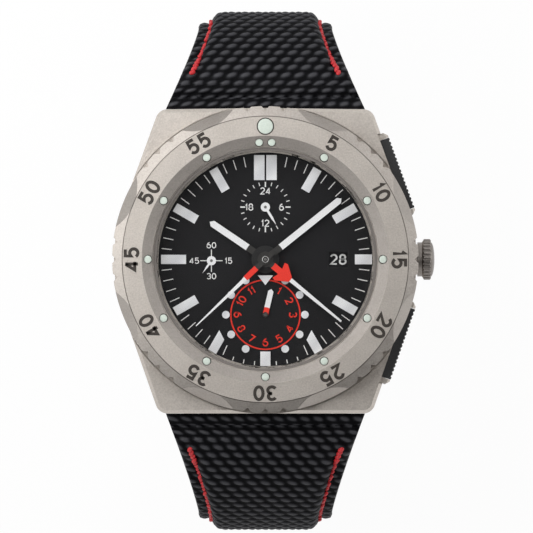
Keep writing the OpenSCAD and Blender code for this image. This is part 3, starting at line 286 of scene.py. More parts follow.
def woven(name, colour, dark):
    """Black technical cloth: fine threads over the modelled weave, and painted shade that turns it
    black between its bumps, where it also reflects less.
    """
    m = Surface(name)
    m.place()
    thread = m.noise(1.6, 3.0, 0.65, m.stretched((3.0, 9.0, 9.0)))
    broad = m.noise(0.35, 2.0)
    m.bump(thread, 0.05, 0.8)
    store = m.add("ShaderNodeAttribute")
    store.attribute_name = "lift"
    lift = store.outputs["Fac"]
    # Painted shade: the weave's low places between the bumps turn dark
    shade = m.blend((thread, 0.35), (broad, 0.15), (lift, 0.6))
    tone = m.mix(m.step(shade, 0.5, 0.3), dark, colour)
    gloss = m.vary(m.step(lift, 0.5, 0.4), 0.05, 0.35)
    return m.finish(tone, m.vary(thread, 0.38, 0.63), specular_ior_level=gloss)


TITANIUM_TONES = (0.64, 0.59, 0.54), (0.48, 0.44, 0.40)
TITANIUM = blasted("titanium_blasted", *TITANIUM_TONES)
BEZEL_METAL = blasted("titanium_bezel", *TITANIUM_TONES, is_bezel=True)
CROWN_METAL = blasted("titanium_dark", (0.30, 0.275, 0.255), (0.22, 0.20, 0.185), rough=0.42)
STEEL = brushed("steel", (0.62, 0.62, 0.61), (0.52, 0.52, 0.52))
CLASP_METAL = brushed("clasp_brushed", (0.60, 0.58, 0.55), (0.50, 0.48, 0.46))
MOVEMENT = brushed("movement_plated", (0.66, 0.64, 0.60), (0.56, 0.54, 0.50))
BRASS = brushed("gear_brass", (0.72, 0.55, 0.26), (0.62, 0.46, 0.20), tips=True)
BLUED = brushed("screw_blued", (0.12, 0.18, 0.38), (0.08, 0.12, 0.28))
DIAL = matte("dial_matte_black", (0.011, 0.011, 0.012), (0.008, 0.008, 0.009),
             rough=0.62, grain=8.0, specular_ior_level=0.2)
DATE_FRAME = matte("date_frame", (0.05, 0.05, 0.05), (0.035, 0.035, 0.035), rough=0.35)
RUBBER = matte("rubber_black", (0.020, 0.020, 0.021), (0.012, 0.012, 0.013),
               rough=0.55, grain=5.0, depth=0.02)
GASKET = matte("gasket_grey", (0.20, 0.18, 0.165), (0.15, 0.135, 0.125))
WHITE = matte("print_white", (0.82, 0.82, 0.81), (0.76, 0.76, 0.75))
RED = matte("print_red", (0.80, 0.045, 0.025), (0.70, 0.035, 0.02), specular_ior_level=0.2)
NUMERAL = matte("numeral_dark", (0.030, 0.022, 0.016), (0.018, 0.013, 0.010),
                rough=0.5, grain=4.0)
PIP = matte("lume_pip", (0.56, 0.62, 0.56), (0.49, 0.55, 0.49),
            rough=0.4, grain=4.0, specular_ior_level=0.3)
LUME = lume_marker()
GLASS = crystal_glass()
# The cloth's dark tone is mostly painted shade between the weave's bumps
CLOTH = woven("cloth_black", (0.034, 0.034, 0.040), (0.001, 0.001, 0.0015))
TAIL_CLOTH = matte("tail_black", (0.014, 0.014, 0.016), (0.006, 0.006, 0.007),
                   rough=0.55, depth=0.03)
LEATHER = matte("lining_black", (0.028, 0.027, 0.026), (0.014, 0.013, 0.012),
                grain=3.0, depth=0.03)
THREAD = matte("thread_red", (0.62, 0.018, 0.025), (0.38, 0.008, 0.012),
               rough=0.5, grain=9.0, depth=0.02)

CHARCOAL = (0.030, 0.028, 0.026)
HUB_BLACK = (0.010, 0.010, 0.010)
HAND_WHITE = (0.88, 0.885, 0.89)
HAND_RED = (0.86, 0.035, 0.018)
BY_NODE = {
    "hour_hand": banded("hour_hand_paint", [
        (0, HUB_BLACK), (2.1, CHARCOAL), (3.26, HAND_WHITE)]),
    "minute_hand": banded("minute_hand_paint", [
        (0, HUB_BLACK), (1.6, CHARCOAL), (3.0, HAND_WHITE)]),
    "chrono_seconds_hand": banded("chrono_seconds_paint", [
        (0, CHARCOAL), (1.9, HAND_RED), (4.2, HAND_WHITE)]),
    "chrono_minutes_hand": banded("chrono_minutes_paint", [
        (0, CHARCOAL), (1.56, HAND_RED), (4.93, HAND_WHITE)]),
    "day_night_hand": banded("day_night_paint", [(0, HAND_WHITE)], SUB_12),
    "small_seconds_hand": banded("small_seconds_paint", [(0, HAND_WHITE)], SUB_9),
    "hour_counter_hand": banded("hour_counter_paint", [
        (0, CHARCOAL), (0.42, HAND_RED), (1.15, HAND_WHITE)], SUB_6),
}
# Every node that isn't named here is steel
for material, names in (
        (TITANIUM, ("case_middle", "case_back", "pusher_upper", "pusher_lower")),
        (BEZEL_METAL, ("bezel",)),
        (CROWN_METAL, ("crown",)),
        (RUBBER, ("pusher_upper_inlay", "pusher_lower_inlay")),
        (GASKET, ("case_gaskets", "crown_gasket")),
        (GLASS, ("crystal",)),
        (DIAL, ("dial", "date_disc")),
        (LUME, ("dial_markers",)),
        (BLUED, ("head_screws",)),
        (CLASP_METAL, ("clasp_base", "clasp_leaf", "clasp_cover", "clasp_button_left",
                       "clasp_button_right")),
        (MOVEMENT, ("main_plate", "train_bridge", "rotor_bridge", "balance_cock", "movement_ring",
                    "winding_rotor", "pallet_fork", "escape_wheel")),
        (BRASS, ("barrel", "centre_wheel", "third_wheel", "fourth_wheel", "balance_wheel",
                 "chrono_seconds_wheel", "chrono_minutes_wheel", "hour_counter_wheel",
                 "hour_wheel", "day_night_wheel"))):
    BY_NODE.update(dict.fromkeys(names, material))
for name, obj in NODES.items():
    obj.data.materials.clear()
    obj.data.materials.append(BY_NODE.get(name, STEEL))


# Mesh helpers. Points are given in millimetres of the row frame.

def piece(name, shape, body, material, smooth=True):
    mesh = bpy.data.meshes.new(name)
    mesh.from_pydata([tuple(c * MM for c in p) for p in shape.points], [], shape.faces)
    mesh.materials.append(material)
    mesh.polygons.foreach_set("use_smooth", [smooth] * len(mesh.polygons))
    mesh.update()
    obj = bpy.data.objects.new(name, mesh)
    scene.collection.objects.link(obj)
    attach(obj, body)
    return obj


def around(count, size):
    """Faces between rings of points that follow each other, each with the same number of points."""
    return [[i * size + k, i * size + (k + 1) % size,
             (i + 1) * size + (k + 1) % size, (i + 1) * size + k]
            for i in range(count - 1) for k in range(size)]


class Shapes:
    """Collects several forms for one piece. Lifts are the points' heights in a weave."""

    def __init__(self):
        self.points, self.faces, self.lifts = [], [], []

    def add(self, points, faces):
        start = len(self.points)
        self.points += points
        self.faces += [[i + start for i in f] for f in faces]

    def prism(self, outline, low, high):
        """An outline in X and Y, counter-clockwise, between two heights."""
        n = len(outline)
        pts = [(x, y, low) for x, y in outline] + [(x, y, high) for x, y in outline]
        faces = [list(range(n - 1, -1, -1)), list(range(n, 2 * n))]
        self.add(pts, faces + around(2, n))

    def bar(self, a, b, width, low, high):
        """A straight bar from a to b."""
        dx, dy = b[0] - a[0], b[1] - a[1]
        s = width / 2 / math.hypot(dx, dy)
        nx, ny = -dy * s, dx * s
        self.prism([(a[0] - nx, a[1] - ny), (b[0] - nx, b[1] - ny),
                    (b[0] + nx, b[1] + ny), (a[0] + nx, a[1] + ny)], low, high)

    def ring(self, centre, inner, outer, low, high, sides=96):
        """A flat ring between two radii and two heights."""
        pts, faces = [], []
        for i in range(sides):
            c, s = math.cos(2 * math.pi * i / sides), math.sin(2 * math.pi * i / sides)
            for r, z in ((inner, low), (outer, low), (outer, high), (inner, high)):
                pts.append((centre[0] + r * c, centre[1] + r * s, z))
        for i in range(sides):
            j = (i + 1) % sides
            for k in range(4):
                m = (k + 1) % 4
                faces.append([4 * i + k, 4 * j + k, 4 * j + m, 4 * i + m])
        self.add(pts, faces)

    def dome(self, centre, radius, low, high, crown, sides=32):
        """A disc with a rounded top, such as a drop of lume."""
        rings = [(radius, low), (radius, high)] + [
            (radius * math.cos(a), high + crown * math.sin(a))
            for a in (math.pi * k / 12 for k in range(1, 6))]
        pts = [(centre[0] + r * math.cos(2 * math.pi * i / sides),
                centre[1] + r * math.sin(2 * math.pi * i / sides), z)
               for r, z in rings for i in range(sides)]
        pts.append((centre[0], centre[1], high + crown))
        top = len(pts) - 1
        faces = [list(range(sides - 1, -1, -1))] + around(len(rings), sides)
        last = (len(rings) - 1) * sides
        faces += [[last + i, last + (i + 1) % sides, top] for i in range(sides)]
        self.add(pts, faces)

    def ribbon(self, line, width, low, high):
        """A flat stroke along a line of points, with mitred corners."""
        closed = line[0] == line[-1]
        if closed:
            line = line[:-1]
        n = len(line)
        left, right = [], []
        for i, (x, y) in enumerate(line):
            before = line[i - 1] if i or closed else None
            after = line[(i + 1) % n] if i < n - 1 or closed else None
            ways = [(Vector(q) - Vector(p)).normalized()
                    for p, q in ((before, (x, y)), ((x, y), after)) if p and q]
            way = sum(ways, Vector((0.0, 0.0))).normalized()
            reach = width / 2 / max(way.dot(ways[0]), 0.5)
            left.append((x - way.y * reach, y + way.x * reach))
            right.append((x + way.y * reach, y - way.x * reach))
        pts = [(x, y, z) for side, z in ((left, high), (right, high), (right, low), (left, low))
               for x, y in side]
        faces = [[k * n + i, k * n + (i + 1) % n,
                  (k + 1) % 4 * n + (i + 1) % n, (k + 1) % 4 * n + i]
                 for k in range(4) for i in range(n if closed else n - 1)]
        if not closed:
            faces += [[k * n for k in range(4)], [k * n + n - 1 for k in range(4)][::-1]]
        self.add(pts, faces)

    def number(self, text, centre, height, angle, low, high, stroke=0.2, wide=0.72):
        """Figures with their tops turned clockwise from 12 o'clock by an angle; stroke and wide
        are shares of the height."""
        c, s = math.cos(math.radians(angle)), math.sin(math.radians(angle))
        widths = [wide * (0.5 if figure == "1" else 1.0) for figure in text]
        x0 = -(sum(widths) + FIGURE_GAP * (len(text) - 1)) / 2
        for figure, w in zip(text, widths):
            for line in FIGURES[figure]:
                spots = []
                for fx, fy in line:
                    x = (x0 + w / 2 + fx * (w - stroke) / 2) * height
                    y = fy * (1 - stroke) / 2 * height
                    spots.append((centre[0] + x * c + y * s, centre[1] - x * s + y * c))
                self.ribbon(spots, stroke * height, low, high)
            x0 += w + FIGURE_GAP


def bow(cx, cy, rx, ry, start, end, n=16):
    """Points on an oval from one angle to another, in degrees."""
    angles = [math.radians(start + (end - start) * i / n) for i in range(n + 1)]
    return [(cx + rx * math.cos(a), cy + ry * math.sin(a)) for a in angles]


def loop(cx, cy, rx, ry):
    """A whole oval that ends where it starts."""
    line = bow(cx, cy, rx, ry, 0, 360, 28)
    return line[:-1] + line[:1]


# The strokes of each figure, in a box from -1 to 1 both ways
FIGURE_GAP = 0.1
FIGURES = {
    "0": [loop(0, 0, 1, 1)],
    "1": [[(-1.0, 0.45), (0.55, 1.0), (0.55, -1.0)]],
    "2": [bow(0, 0.42, 0.95, 0.58, 165, -32) + [(-0.98, -1.0), (1.0, -1.0)]],
    "3": [bow(-0.05, 0.5, 0.9, 0.5, 155, -80), bow(0, -0.47, 1.0, 0.53, 95, -150)],
    "4": [[(0.45, -1.0), (0.45, 1.0)], [(0.4, 0.95), (-1.0, -0.5), (1.0, -0.5)]],
    "5": [[(0.85, 1.0), (-0.72, 1.0)] + bow(-0.02, -0.35, 1.0, 0.65, 140, -150)],
    "6": [loop(0, -0.38, 1.0, 0.62), bow(0.62, -0.38, 1.62, 1.38, 180, 98)],
    "7": [[(-0.95, 1.0), (0.95, 1.0), (-0.35, -1.0)]],
    "8": [loop(0, 0.5, 0.84, 0.5), loop(0, -0.46, 1.0, 0.54)],
    "9": [loop(0, 0.38, 1.0, 0.62), bow(-0.62, 0.38, 1.62, 1.38, 0, -82)],
}

# Dial prints: minute strokes all round, and the strokes and figures of the three counters
INK = 0.02
PRINT = (DIAL_TOP, DIAL_TOP + INK)
LINE_W, WIDE_LINE_W = 0.13, 0.2
MINUTE_R = (14.3, 15.85)
MINUTE_R_NEAR_6 = (15.55, 16.15)
HOUR_24_IN_R, HOUR_24_LONG_IN_R, HOUR_24_OUT_R = 3.3, 3.05, 3.82
HOUR_24_FIGURE_R, HOUR_24_FIGURE_H = 2.45, 1.1
CROSS_R = (0.2, 1.7)
SECONDS_FIGURE_R, SECONDS_WIDE_R, SECONDS_FIGURE_H = 2.35, 2.6, 0.95
HOUR_12_RING_R = (5.155, 5.365)
HOUR_12_FIGURE_R, HOUR_12_FIGURE_H = 4.2, 1.25

white, red = Shapes(), Shapes()
for minute in range(60):
    if minute % 5 == 0:
        continue
    near_6 = 26 < minute < 34
    inner, outer = MINUTE_R_NEAR_6 if near_6 else MINUTE_R
    white.bar(at_clock(6 * minute, inner), at_clock(6 * minute, outer), LINE_W, *PRINT)
for step in range(24):
    is_long = step % 6 == 0
    inner = HOUR_24_LONG_IN_R if is_long else HOUR_24_IN_R
    white.bar(at_clock(15 * step, inner, SUB_12), at_clock(15 * step, HOUR_24_OUT_R, SUB_12),
              WIDE_LINE_W if is_long else LINE_W, *PRINT)
for figure, angle in (("24", 0), ("6", 90), ("12", 180), ("18", 270)):
    white.number(figure, at_clock(angle, HOUR_24_FIGURE_R, SUB_12), HOUR_24_FIGURE_H, 0,
                 *PRINT, stroke=0.15, wide=0.68)
for angle in (0, 90, 180, 270):
    inner, outer = (at_clock(angle, r, SUB_9) for r in CROSS_R)
    white.bar(inner, outer, LINE_W, *PRINT)
for figure, angle, r in (("60", 0, SECONDS_FIGURE_R), ("15", 90, SECONDS_WIDE_R),
                         ("30", 180, SECONDS_FIGURE_R), ("45", 270, SECONDS_WIDE_R)):
    white.number(figure, at_clock(angle, r, SUB_9), SECONDS_FIGURE_H, 0, *PRINT, stroke=0.14)
red.ring(SUB_6, *HOUR_12_RING_R, *PRINT)
for hour in range(1, 12):
    tops_out = not 4 <= hour <= 8
    red.number(str(hour), at_clock(30 * hour, HOUR_12_FIGURE_R, SUB_6), HOUR_12_FIGURE_H,
               30 * hour + (0 if tops_out else 180), *PRINT, stroke=0.16)
piece("dial_print_white", white, "root", WHITE, False)
piece("dial_print_red", red, "root", RED, False)

# Steel cap and ring on the hub of the chronograph seconds hand
CAP_R, CAP_DEEP, CAP_UP = 0.2, 0.1, 0.04
CAP_RING_R, CAP_RING_DEEP = (0.4, 0.5), 0.05
cap = Shapes()
cap.dome((0, 0), CAP_R, SWEEP_TOP - CAP_DEEP, SWEEP_TOP + CAP_UP, CAP_UP)
cap.ring((0, 0), *CAP_RING_R, SWEEP_TOP - CAP_RING_DEEP, SWEEP_TOP + CAP_UP, 48)
piece("chrono_seconds_cap", cap, "chrono_seconds_hand", STEEL)

# Date window's bevelled frame
WINDOW_IN, WINDOW_OUT = (1.35, 1.05), (1.6, 1.3)
window = Shapes()
window.points = [
    (DATE_X + sx * half_x, sy * half_y, DIAL_TOP + up)
    for (half_x, half_y), up in ((WINDOW_IN, -0.38), (WINDOW_OUT, 0.005), (WINDOW_OUT, 0.03),
                                 (WINDOW_IN, -0.34))
    for sx, sy in ((-1, -1), (1, -1), (1, 1), (-1, 1))]
window.faces = [[i % 16 for i in face] for face in around(5, 4)]
piece("date_frame", window, "root", DATE_FRAME, False)

# Figures on the date disc, with today's in the window
TODAY = 28
DATE_FIGURE_H = 1.65
days = Shapes()
for day in range(1, 32):
    turn = 90 + 360 / 31 * (TODAY - day)
    days.number(str(day), at_clock(turn, DATE_X), DATE_FIGURE_H, turn - 90,
                DISC_TOP, DISC_TOP + INK, stroke=0.16)
piece("date_figures", days, "date_disc", WHITE, False)

# Bezel: engraved numerals filled dark, and drops of lume in their seats
NUMERAL_R, NUMERAL_H = 20.3, 2.4
NUMERAL_DEEP, NUMERAL_UP = 0.05, 0.025
PIP_AT_R, PIP_R, PIP_RIM_R = 17.85, 0.58, 0.7
PIP_DEEP, PIP_UNDER, PIP_CROWN = 0.3, 0.02, 0.1
PAIR_X, PAIR_Y, PAIR_R, PAIR_RIM_R = 0.95, 17.75, 0.56, 0.66
ZERO_AT, ZERO_R, ZERO_RIM_R = (0.0, 20.2), 1.16, 1.32
ZERO_DEEP, ZERO_CROWN, ZERO_RIM_UP = 0.2, 0.12, 0.05


def slope_height(r):
    """Top of the bezel's inner slope."""
    return BEZEL_TOP - (BAND_IN_R - r) * SLOPE_FALL


def slope_pip(place, r, radius, rim_r):
    """A drop of lume with a dark rim, seated in the slope at its height for r."""
    top = slope_height(r)
    pips.dome(place, radius, top - PIP_DEEP, top - PIP_UNDER, PIP_CROWN)
    rims.ring(place, radius, rim_r, top - PIP_DEEP, top + INK, 32)


figures, pips, rims = Shapes(), Shapes(), Shapes()
for minute in range(5, 60, 5):
    figures.number(str(minute), at_clock(6 * minute, NUMERAL_R), NUMERAL_H, 6 * minute,
                   BEZEL_TOP - NUMERAL_DEEP, BEZEL_TOP + NUMERAL_UP)
    slope_pip(at_clock(6 * minute, PIP_AT_R), PIP_AT_R, PIP_R, PIP_RIM_R)
zero_low = BEZEL_TOP - ZERO_DEEP
pips.dome(ZERO_AT, ZERO_R, zero_low, BEZEL_TOP + INK, ZERO_CROWN, 48)
rims.ring(ZERO_AT, ZERO_R, ZERO_RIM_R, zero_low, BEZEL_TOP + ZERO_RIM_UP, 48)
for side in (-1, 1):
    slope_pip((side * PAIR_X, PAIR_Y), PAIR_Y, PAIR_R, PAIR_RIM_R)
piece("bezel_numerals", figures, "bezel", NUMERAL, False)
piece("bezel_pips", pips, "bezel", PIP)
piece("bezel_pip_rims", rims, "bezel", NUMERAL, False)

# Strap. Each half follows the CAD's middle line; sizes in millimetres as the CAD has them.
# s runs along the middle line from the spring bar, and u across from -1 to 1.

# Middle line and widths
TOP_TURN, DOWN_R, END_R = 70.0, 70.0, 2.7
STRAP_W, LOW_W, TAPER_POWER = 30.3, 20.4, 1.15
TAIL_L = 4.5

# Heights of the surfaces over the middle line
FLANGE_OUT, PAD_OUT, CORE_IN, LINING_IN = 1.0, 2.7, -1.4, -2.2
WIDTH_AT = 0.5

# The raised pad, the groove beside it and the rounded edges, measured in from the strap's edge
# and, along it, from the spring bar. Near the case the pad is as wide as the strap.
PAD_FOOT, PAD_ROLL = 2.0, 1.9
PAD_END, PAD_END_ROLL = 0.5, 1.6
WHOLE_TO, WHOLE_FADE, WHOLE_ROLL = 1.0, 5.5, 1.2
EDGE_ROLL, END_ROLL = 0.5, 0.6
GROOVE_INSET, GROOVE_W, GROOVE_DEPTH = 1.95, 0.3, 0.12
GROOVE_FROM, GROOVE_FULL = 3.0, 6.0

# The weave, the spacing of the points over it, and its even height where it isn't modelled
WEAVE_ACROSS, WEAVE_ALONG, WEAVE_DEPTH = 2.05, 1.13, 0.34
FINE, MEAN_HALF_W = 0.25, 12.0
PLAIN = 0.4

# The wrap round the spring bar, and the slots in it for the lugs
WRAP_R, WRAP_TO, WRAP_STEPS = END_R - 0.1, 308.0, 60
WRAP_TURNS = [TOP_TURN + (WRAP_TO - TOP_TURN) * i / WRAP_STEPS for i in range(1, WRAP_STEPS + 1)]
SLOT_U = (0.75, 0.935)
SLOT_FROM, SLOT_TO, EYE_ROOM = 126.0, 250.0, 2.15
IN_SLOT = [i for i, turn in enumerate(WRAP_TURNS) if SLOT_FROM < turn < SLOT_TO]

# The inner side starts behind the wrap, with every fourth place of the outer side
INNER_FROM, INNER_EVERY = 2.3, 4


def strap_line(bar, reach, pivot, down):
    """The arcs of the middle line as (centre, radius, from, to) in Y and Z, in degrees."""
    out = reach - END_R
    r = (out - bar[0]) / (1 - math.cos(math.radians(TOP_TURN)))
    top = (out - r, bar[1] - r * math.sin(math.radians(TOP_TURN)))
    side = (out - DOWN_R, top[1])
    u = (math.cos(math.radians(down)), -math.sin(math.radians(down)))
    d = (pivot[0] - side[0], pivot[1] - side[1])
    k = (DOWN_R ** 2 - d[0] ** 2 - d[1] ** 2) / (2 * (DOWN_R - d[0] * u[0] - d[1] * u[1]))
    low = (side[0] + k * u[0], side[1] + k * u[1])
    e = (pivot[0] - low[0], pivot[1] - low[1])
    return [(top, r, TOP_TURN, 0.0), (side, DOWN_R, 0.0, -down),
            (low, DOWN_R - k, -down, math.degrees(math.atan2(e[1], e[0])))]


def ramp(x, a, b):
    """0 up to a, 1 from b, smooth in between."""
    t = min(max((x - a) / (b - a), 0.0), 1.0)
    return t * t * (3 - 2 * t)


def rounded(x, width):
    """Rises from 0 to 1 over a width like a quarter circle."""
    t = min(max(x / width, 0.0), 1.0)
    return math.sqrt(1 - (1 - t) ** 2)


def weave(across, along):
    """Height of the cloth from 0 to 1: rows of slanted bumps, every second row shifted."""
    row = round(along / WEAVE_ALONG)
    q = along / WEAVE_ALONG - row
    p = across / WEAVE_ACROSS + 0.5 * row
    p -= round(p)
    slant = min(max(q - 0.5 * p, -0.5), 0.5)
    bump = math.cos(math.pi * slant) ** 2 * abs(math.cos(math.pi * p)) ** 1.2
    return bump * (1 - (2 * q) ** 4)


class Half:
    """One half of the strap: places on it, its width and its surface.

    Bar and pivot are places in Y and Z, reach is how far it stands out in Y, down the turn of its
    long arc and end the case's end. The tail and the knuckle in it are given by their half widths."""

    def __init__(self, name, sign, bar, reach, pivot, down, end, tail_x, knuckle_x):
        self.name, self.sign, self.bar, self.pivot, self.end = name, sign, bar, pivot, end
        self.tail_x, self.knuckle_x = tail_x, knuckle_x
        self.line = strap_line(bar, reach, pivot, down)
        self.out = reach - END_R
        self.lengths = [math.radians(a[2] - a[3]) * a[1] for a in self.line]
        self.last = sum(self.lengths) - TAIL_L

    def at(self, s, h):
        """Y and Z at s millimetres along the middle line and h outside it."""
        for i, ((c, r, a0, a1), l) in enumerate(zip(self.line, self.lengths)):
            if s <= l or i == 2:
                a = math.radians(a0 + (a1 - a0) * s / l)
                return c[0] + (r + h) * math.cos(a), c[1] + (r + h) * math.sin(a)
            s -= l

    def half_width(self, y, z):
        """Half of the width seen from above. The part that runs down keeps the low width."""
        t = (y - self.end) / (self.out - self.end)
        if t >= 1 or z < self.line[0][0][1]:
            return LOW_W / 2
        return (LOW_W + (STRAP_W - LOW_W) * (1 - max(t, 0.0)) ** TAPER_POWER) / 2

    def width_at(self, s):
        """Half of the width at s millimetres along the middle line."""
        return self.half_width(*self.at(s, WIDTH_AT))

    def height(self, s, u, w):
        """The outer surface above the middle line: flanges, the raised pad and the weave."""
        edge = (1 - abs(u)) * w
        pad = rounded(edge - PAD_FOOT, PAD_ROLL)
        whole = 1 - ramp(s, WHOLE_TO, WHOLE_FADE)
        pad = max(pad, whole * rounded(edge, WHOLE_ROLL))
        pad *= rounded(self.last - PAD_END - s, PAD_END_ROLL)
        h = FLANGE_OUT + (PAD_OUT - FLANGE_OUT) * pad
        h += EDGE_ROLL * (rounded(edge, EDGE_ROLL) - 1)
        h += END_ROLL * (rounded(self.last - s, END_ROLL) - 1)
        groove = math.exp(-((edge - GROOVE_INSET) / GROOVE_W) ** 2)
        groove *= ramp(s, GROOVE_FROM, GROOVE_FULL)
        fade = ramp(edge, 0.0, EDGE_ROLL)
        return h - GROOVE_DEPTH * groove + WEAVE_DEPTH * fade * (weave(u * w, s) - 0.5)

    def lift(self, s, u):
        """How far a place lies up in the weave, from 0 to 1."""
        return weave(u * self.width_at(s), s)

    def point(self, s, u, h=None):
        """A place on the half in the row frame, on its outer surface or at a height h."""
        w = self.width_at(s)
        y, z = self.at(s, self.height(s, u, w) if h is None else h)
        return u * w, self.sign * y, z


def columns():
    """Places across the strap as (u, whether it lies in a lug's slot)."""
    a, b = SLOT_U
    parts = [(-1.0, -b, False), (-b, -a, True), (-a, a, False), (a, b, True), (b, 1.0, False)]
    cols = []
    for start, stop, slot in parts:
        n = max(2, round((stop - start) * MEAN_HALF_W / FINE))
        cols += [(start + (stop - start) * i / n, slot) for i in range(n + 1)]
    return cols


def wrap(half, u, slot):
    """The cloth round the spring bar, as points and lifts. In a slot it turns back at the eye."""
    bar_w = half.half_width(*half.bar)
    points, lifts = [], []
    for i in reversed(range(WRAP_STEPS)):
        turn, r = WRAP_TURNS[i], WRAP_R
        cloth = weave(u * bar_w, -math.radians(turn - TOP_TURN) * WRAP_R)
        if slot and i in IN_SLOT:
            k = (i - IN_SLOT[0]) / (len(IN_SLOT) - 1)
            turn, r = SLOT_FROM - (360.0 - SLOT_TO + SLOT_FROM) * k, EYE_ROOM
        else:
            r += WEAVE_DEPTH * (cloth - 0.5)
        a = math.radians(turn)
        y, z = half.bar[0] + r * math.cos(a), half.bar[1] + r * math.sin(a)
        beside_slot = abs(u) >= SLOT_U[0] and i in IN_SLOT or abs(u) in SLOT_U
        x = u * (bar_w if beside_slot else half.half_width(y, half.bar[1]))
        points.append((x, half.sign * y, z))
        lifts.append(cloth)
    return points, lifts


def strap_body(half):
    """The woven body: its outer side, its inner side and the wrap round the spring bar."""
    cols = columns()
    n_out = round(half.last / FINE / INNER_EVERY) * INNER_EVERY
    outer = [half.last * i / n_out for i in range(n_out + 1)]
    inner = [s for s in outer[::INNER_EVERY] if s > INNER_FROM][::-1]
    flat = len(outer) + len(inner)
    size = flat + WRAP_STEPS
    slot_at = {size - 1 - i for i in IN_SLOT}
    shape = Shapes()
    index = []
    for c, (u, slot) in enumerate(cols):
        wrap_points, wrap_lifts = wrap(half, u, slot)
        ring = [half.point(s, u) for s in outer] + [half.point(s, u, CORE_IN) for s in inner]
        lifts = [half.lift(s, u) for s in outer] + [PLAIN] * len(inner) + wrap_lifts
        twin = c > 0 and cols[c - 1][0] == u
        ids = []
        for k, point in enumerate(ring + wrap_points):
            if twin and k not in slot_at:
                ids.append(index[-1][k])
            else:
                ids.append(len(shape.points))
                shape.points.append(point)
                shape.lifts.append(lifts[k])
        index.append(ids)
    for left, right in zip(index, index[1:]):
        for k in range(size):
            m = (k + 1) % size
            face = list(dict.fromkeys((left[k], right[k], right[m], left[m])))
            if len(face) > 2:
                shape.faces.append(face)
    low = [k for k, s in enumerate(outer) if s > INNER_FROM and k % INNER_EVERY == 0]
    for ids in (index[0], index[-1]):
        for j, k in enumerate(low[:-1]):
            under = flat - 1 - j
            shape.faces.append(ids[k:k + INNER_EVERY + 1] + [ids[under - 1], ids[under]])
        shape.faces.append(ids[:low[0] + 1] + ids[flat - 1:])
    return shape


LINING_FROM, LINING_STEP, LINING_INSET = 3.5, 1.5, 0.7
LINING_LIP, LINING_ROLL = 0.25, 0.2


def lining(half):
    """The leather layer on the inner side. Its edges are thicker by a rolled lip."""
    shape = Shapes()
    n = round((half.last - LINING_FROM) / LINING_STEP)
    us = [-1 + i / 8 for i in range(17)]
    size = 2 * len(us)
    for i in range(n + 1):
        s = LINING_FROM + (half.last - LINING_FROM) * i / n
        for h, away, row in ((LINING_IN, -1, us), (CORE_IN, 1, us[::-1])):
            for u in row:
                lip = LINING_LIP * (1 - rounded(1 - abs(u), LINING_ROLL))
                x, y, z = half.point(s, u, h + away * lip)
                shape.points.append((x - math.copysign(LINING_INSET, u) * abs(u), y, z))
    shape.faces = around(n + 1, size)
    shape.faces.append(list(range(size))[::-1])
    shape.faces.append([n * size + k for k in range(size)])
    return shape


TAIL_THICK, TAIL_LAP, EYE_R, EYE_HOLE_R = 0.95, 0.6, 1.45, 0.62


def tail(half):
    """The strap's thin end, with eyes round the clasp's pin and room for a knuckle between them."""
    shape = Shapes()
    c, r, _, a1 = half.line[2]
    start = a1 + math.degrees((TAIL_L + TAIL_LAP) / r)
    spine = [start + (a1 - start) * i / 8 for i in range(9)]

    def slab(x0, x1, angles):
        pts = []
        for a in angles:
            ca, sa = math.cos(math.radians(a)), math.sin(math.radians(a))
            pts += [(x, half.sign * (c[0] + (r + h) * ca), c[1] + (r + h) * sa)
                    for x, h in ((x0, -TAIL_THICK), (x1, -TAIL_THICK),
                                 (x1, TAIL_THICK), (x0, TAIL_THICK))]
        end = len(pts) - 4
        shape.add(pts, around(len(angles), 4) + [[3, 2, 1, 0], [end, end + 1, end + 2, end + 3]])

    def eye(x0, x1, sides=32):
        pts = []
        for i in range(sides):
            a = 2 * math.pi * i / sides
            pts += [(x, half.sign * (half.pivot[0] + q * math.cos(a)),
                     half.pivot[1] + q * math.sin(a))
                    for x, q in ((x0, EYE_HOLE_R), (x1, EYE_HOLE_R), (x1, EYE_R), (x0, EYE_R))]
        shape.add(pts, [[v % len(pts) for v in face] for face in around(sides + 1, 4)])

    if half.knuckle_x > 0:
        slab(-half.tail_x, half.tail_x, spine[:6])
        for side in (-1, 1):
            a, b = sorted((side * half.knuckle_x, side * half.tail_x))
            slab(a, b, spine[5:8])
            eye(a, b)
    else:
        slab(-half.tail_x, half.tail_x, spine[:8])
        eye(-half.tail_x, half.tail_x)
    return shape


STITCH_PITCH, STITCH_FROM, STITCH_END, STITCH_INSET = 0.68, 1.3, 1.2, PAD_FOOT
THREAD_R, BEAD_HALF_L, BEAD_UP = 0.37, 0.6, 0.28
LEAN_ALONG, LEAN_OVER = 0.86, 0.5


def bead(middle, lean, flat, out, rings=5, sides=8):
    """Points and faces of one twist of thread, a long drop that lies along its lean."""
    pts = []
    for j in range(rings + 2):
        t = math.pi * j / (rings + 1)
        for k in range(sides):
            q = 2 * math.pi * k / sides
            across = flat * (THREAD_R * math.cos(q)) + out * (THREAD_R * math.sin(q))
            pts.append(tuple(middle + lean * (BEAD_HALF_L * -math.cos(t)) + math.sin(t) * across))
    return pts, around(rings + 2, sides)


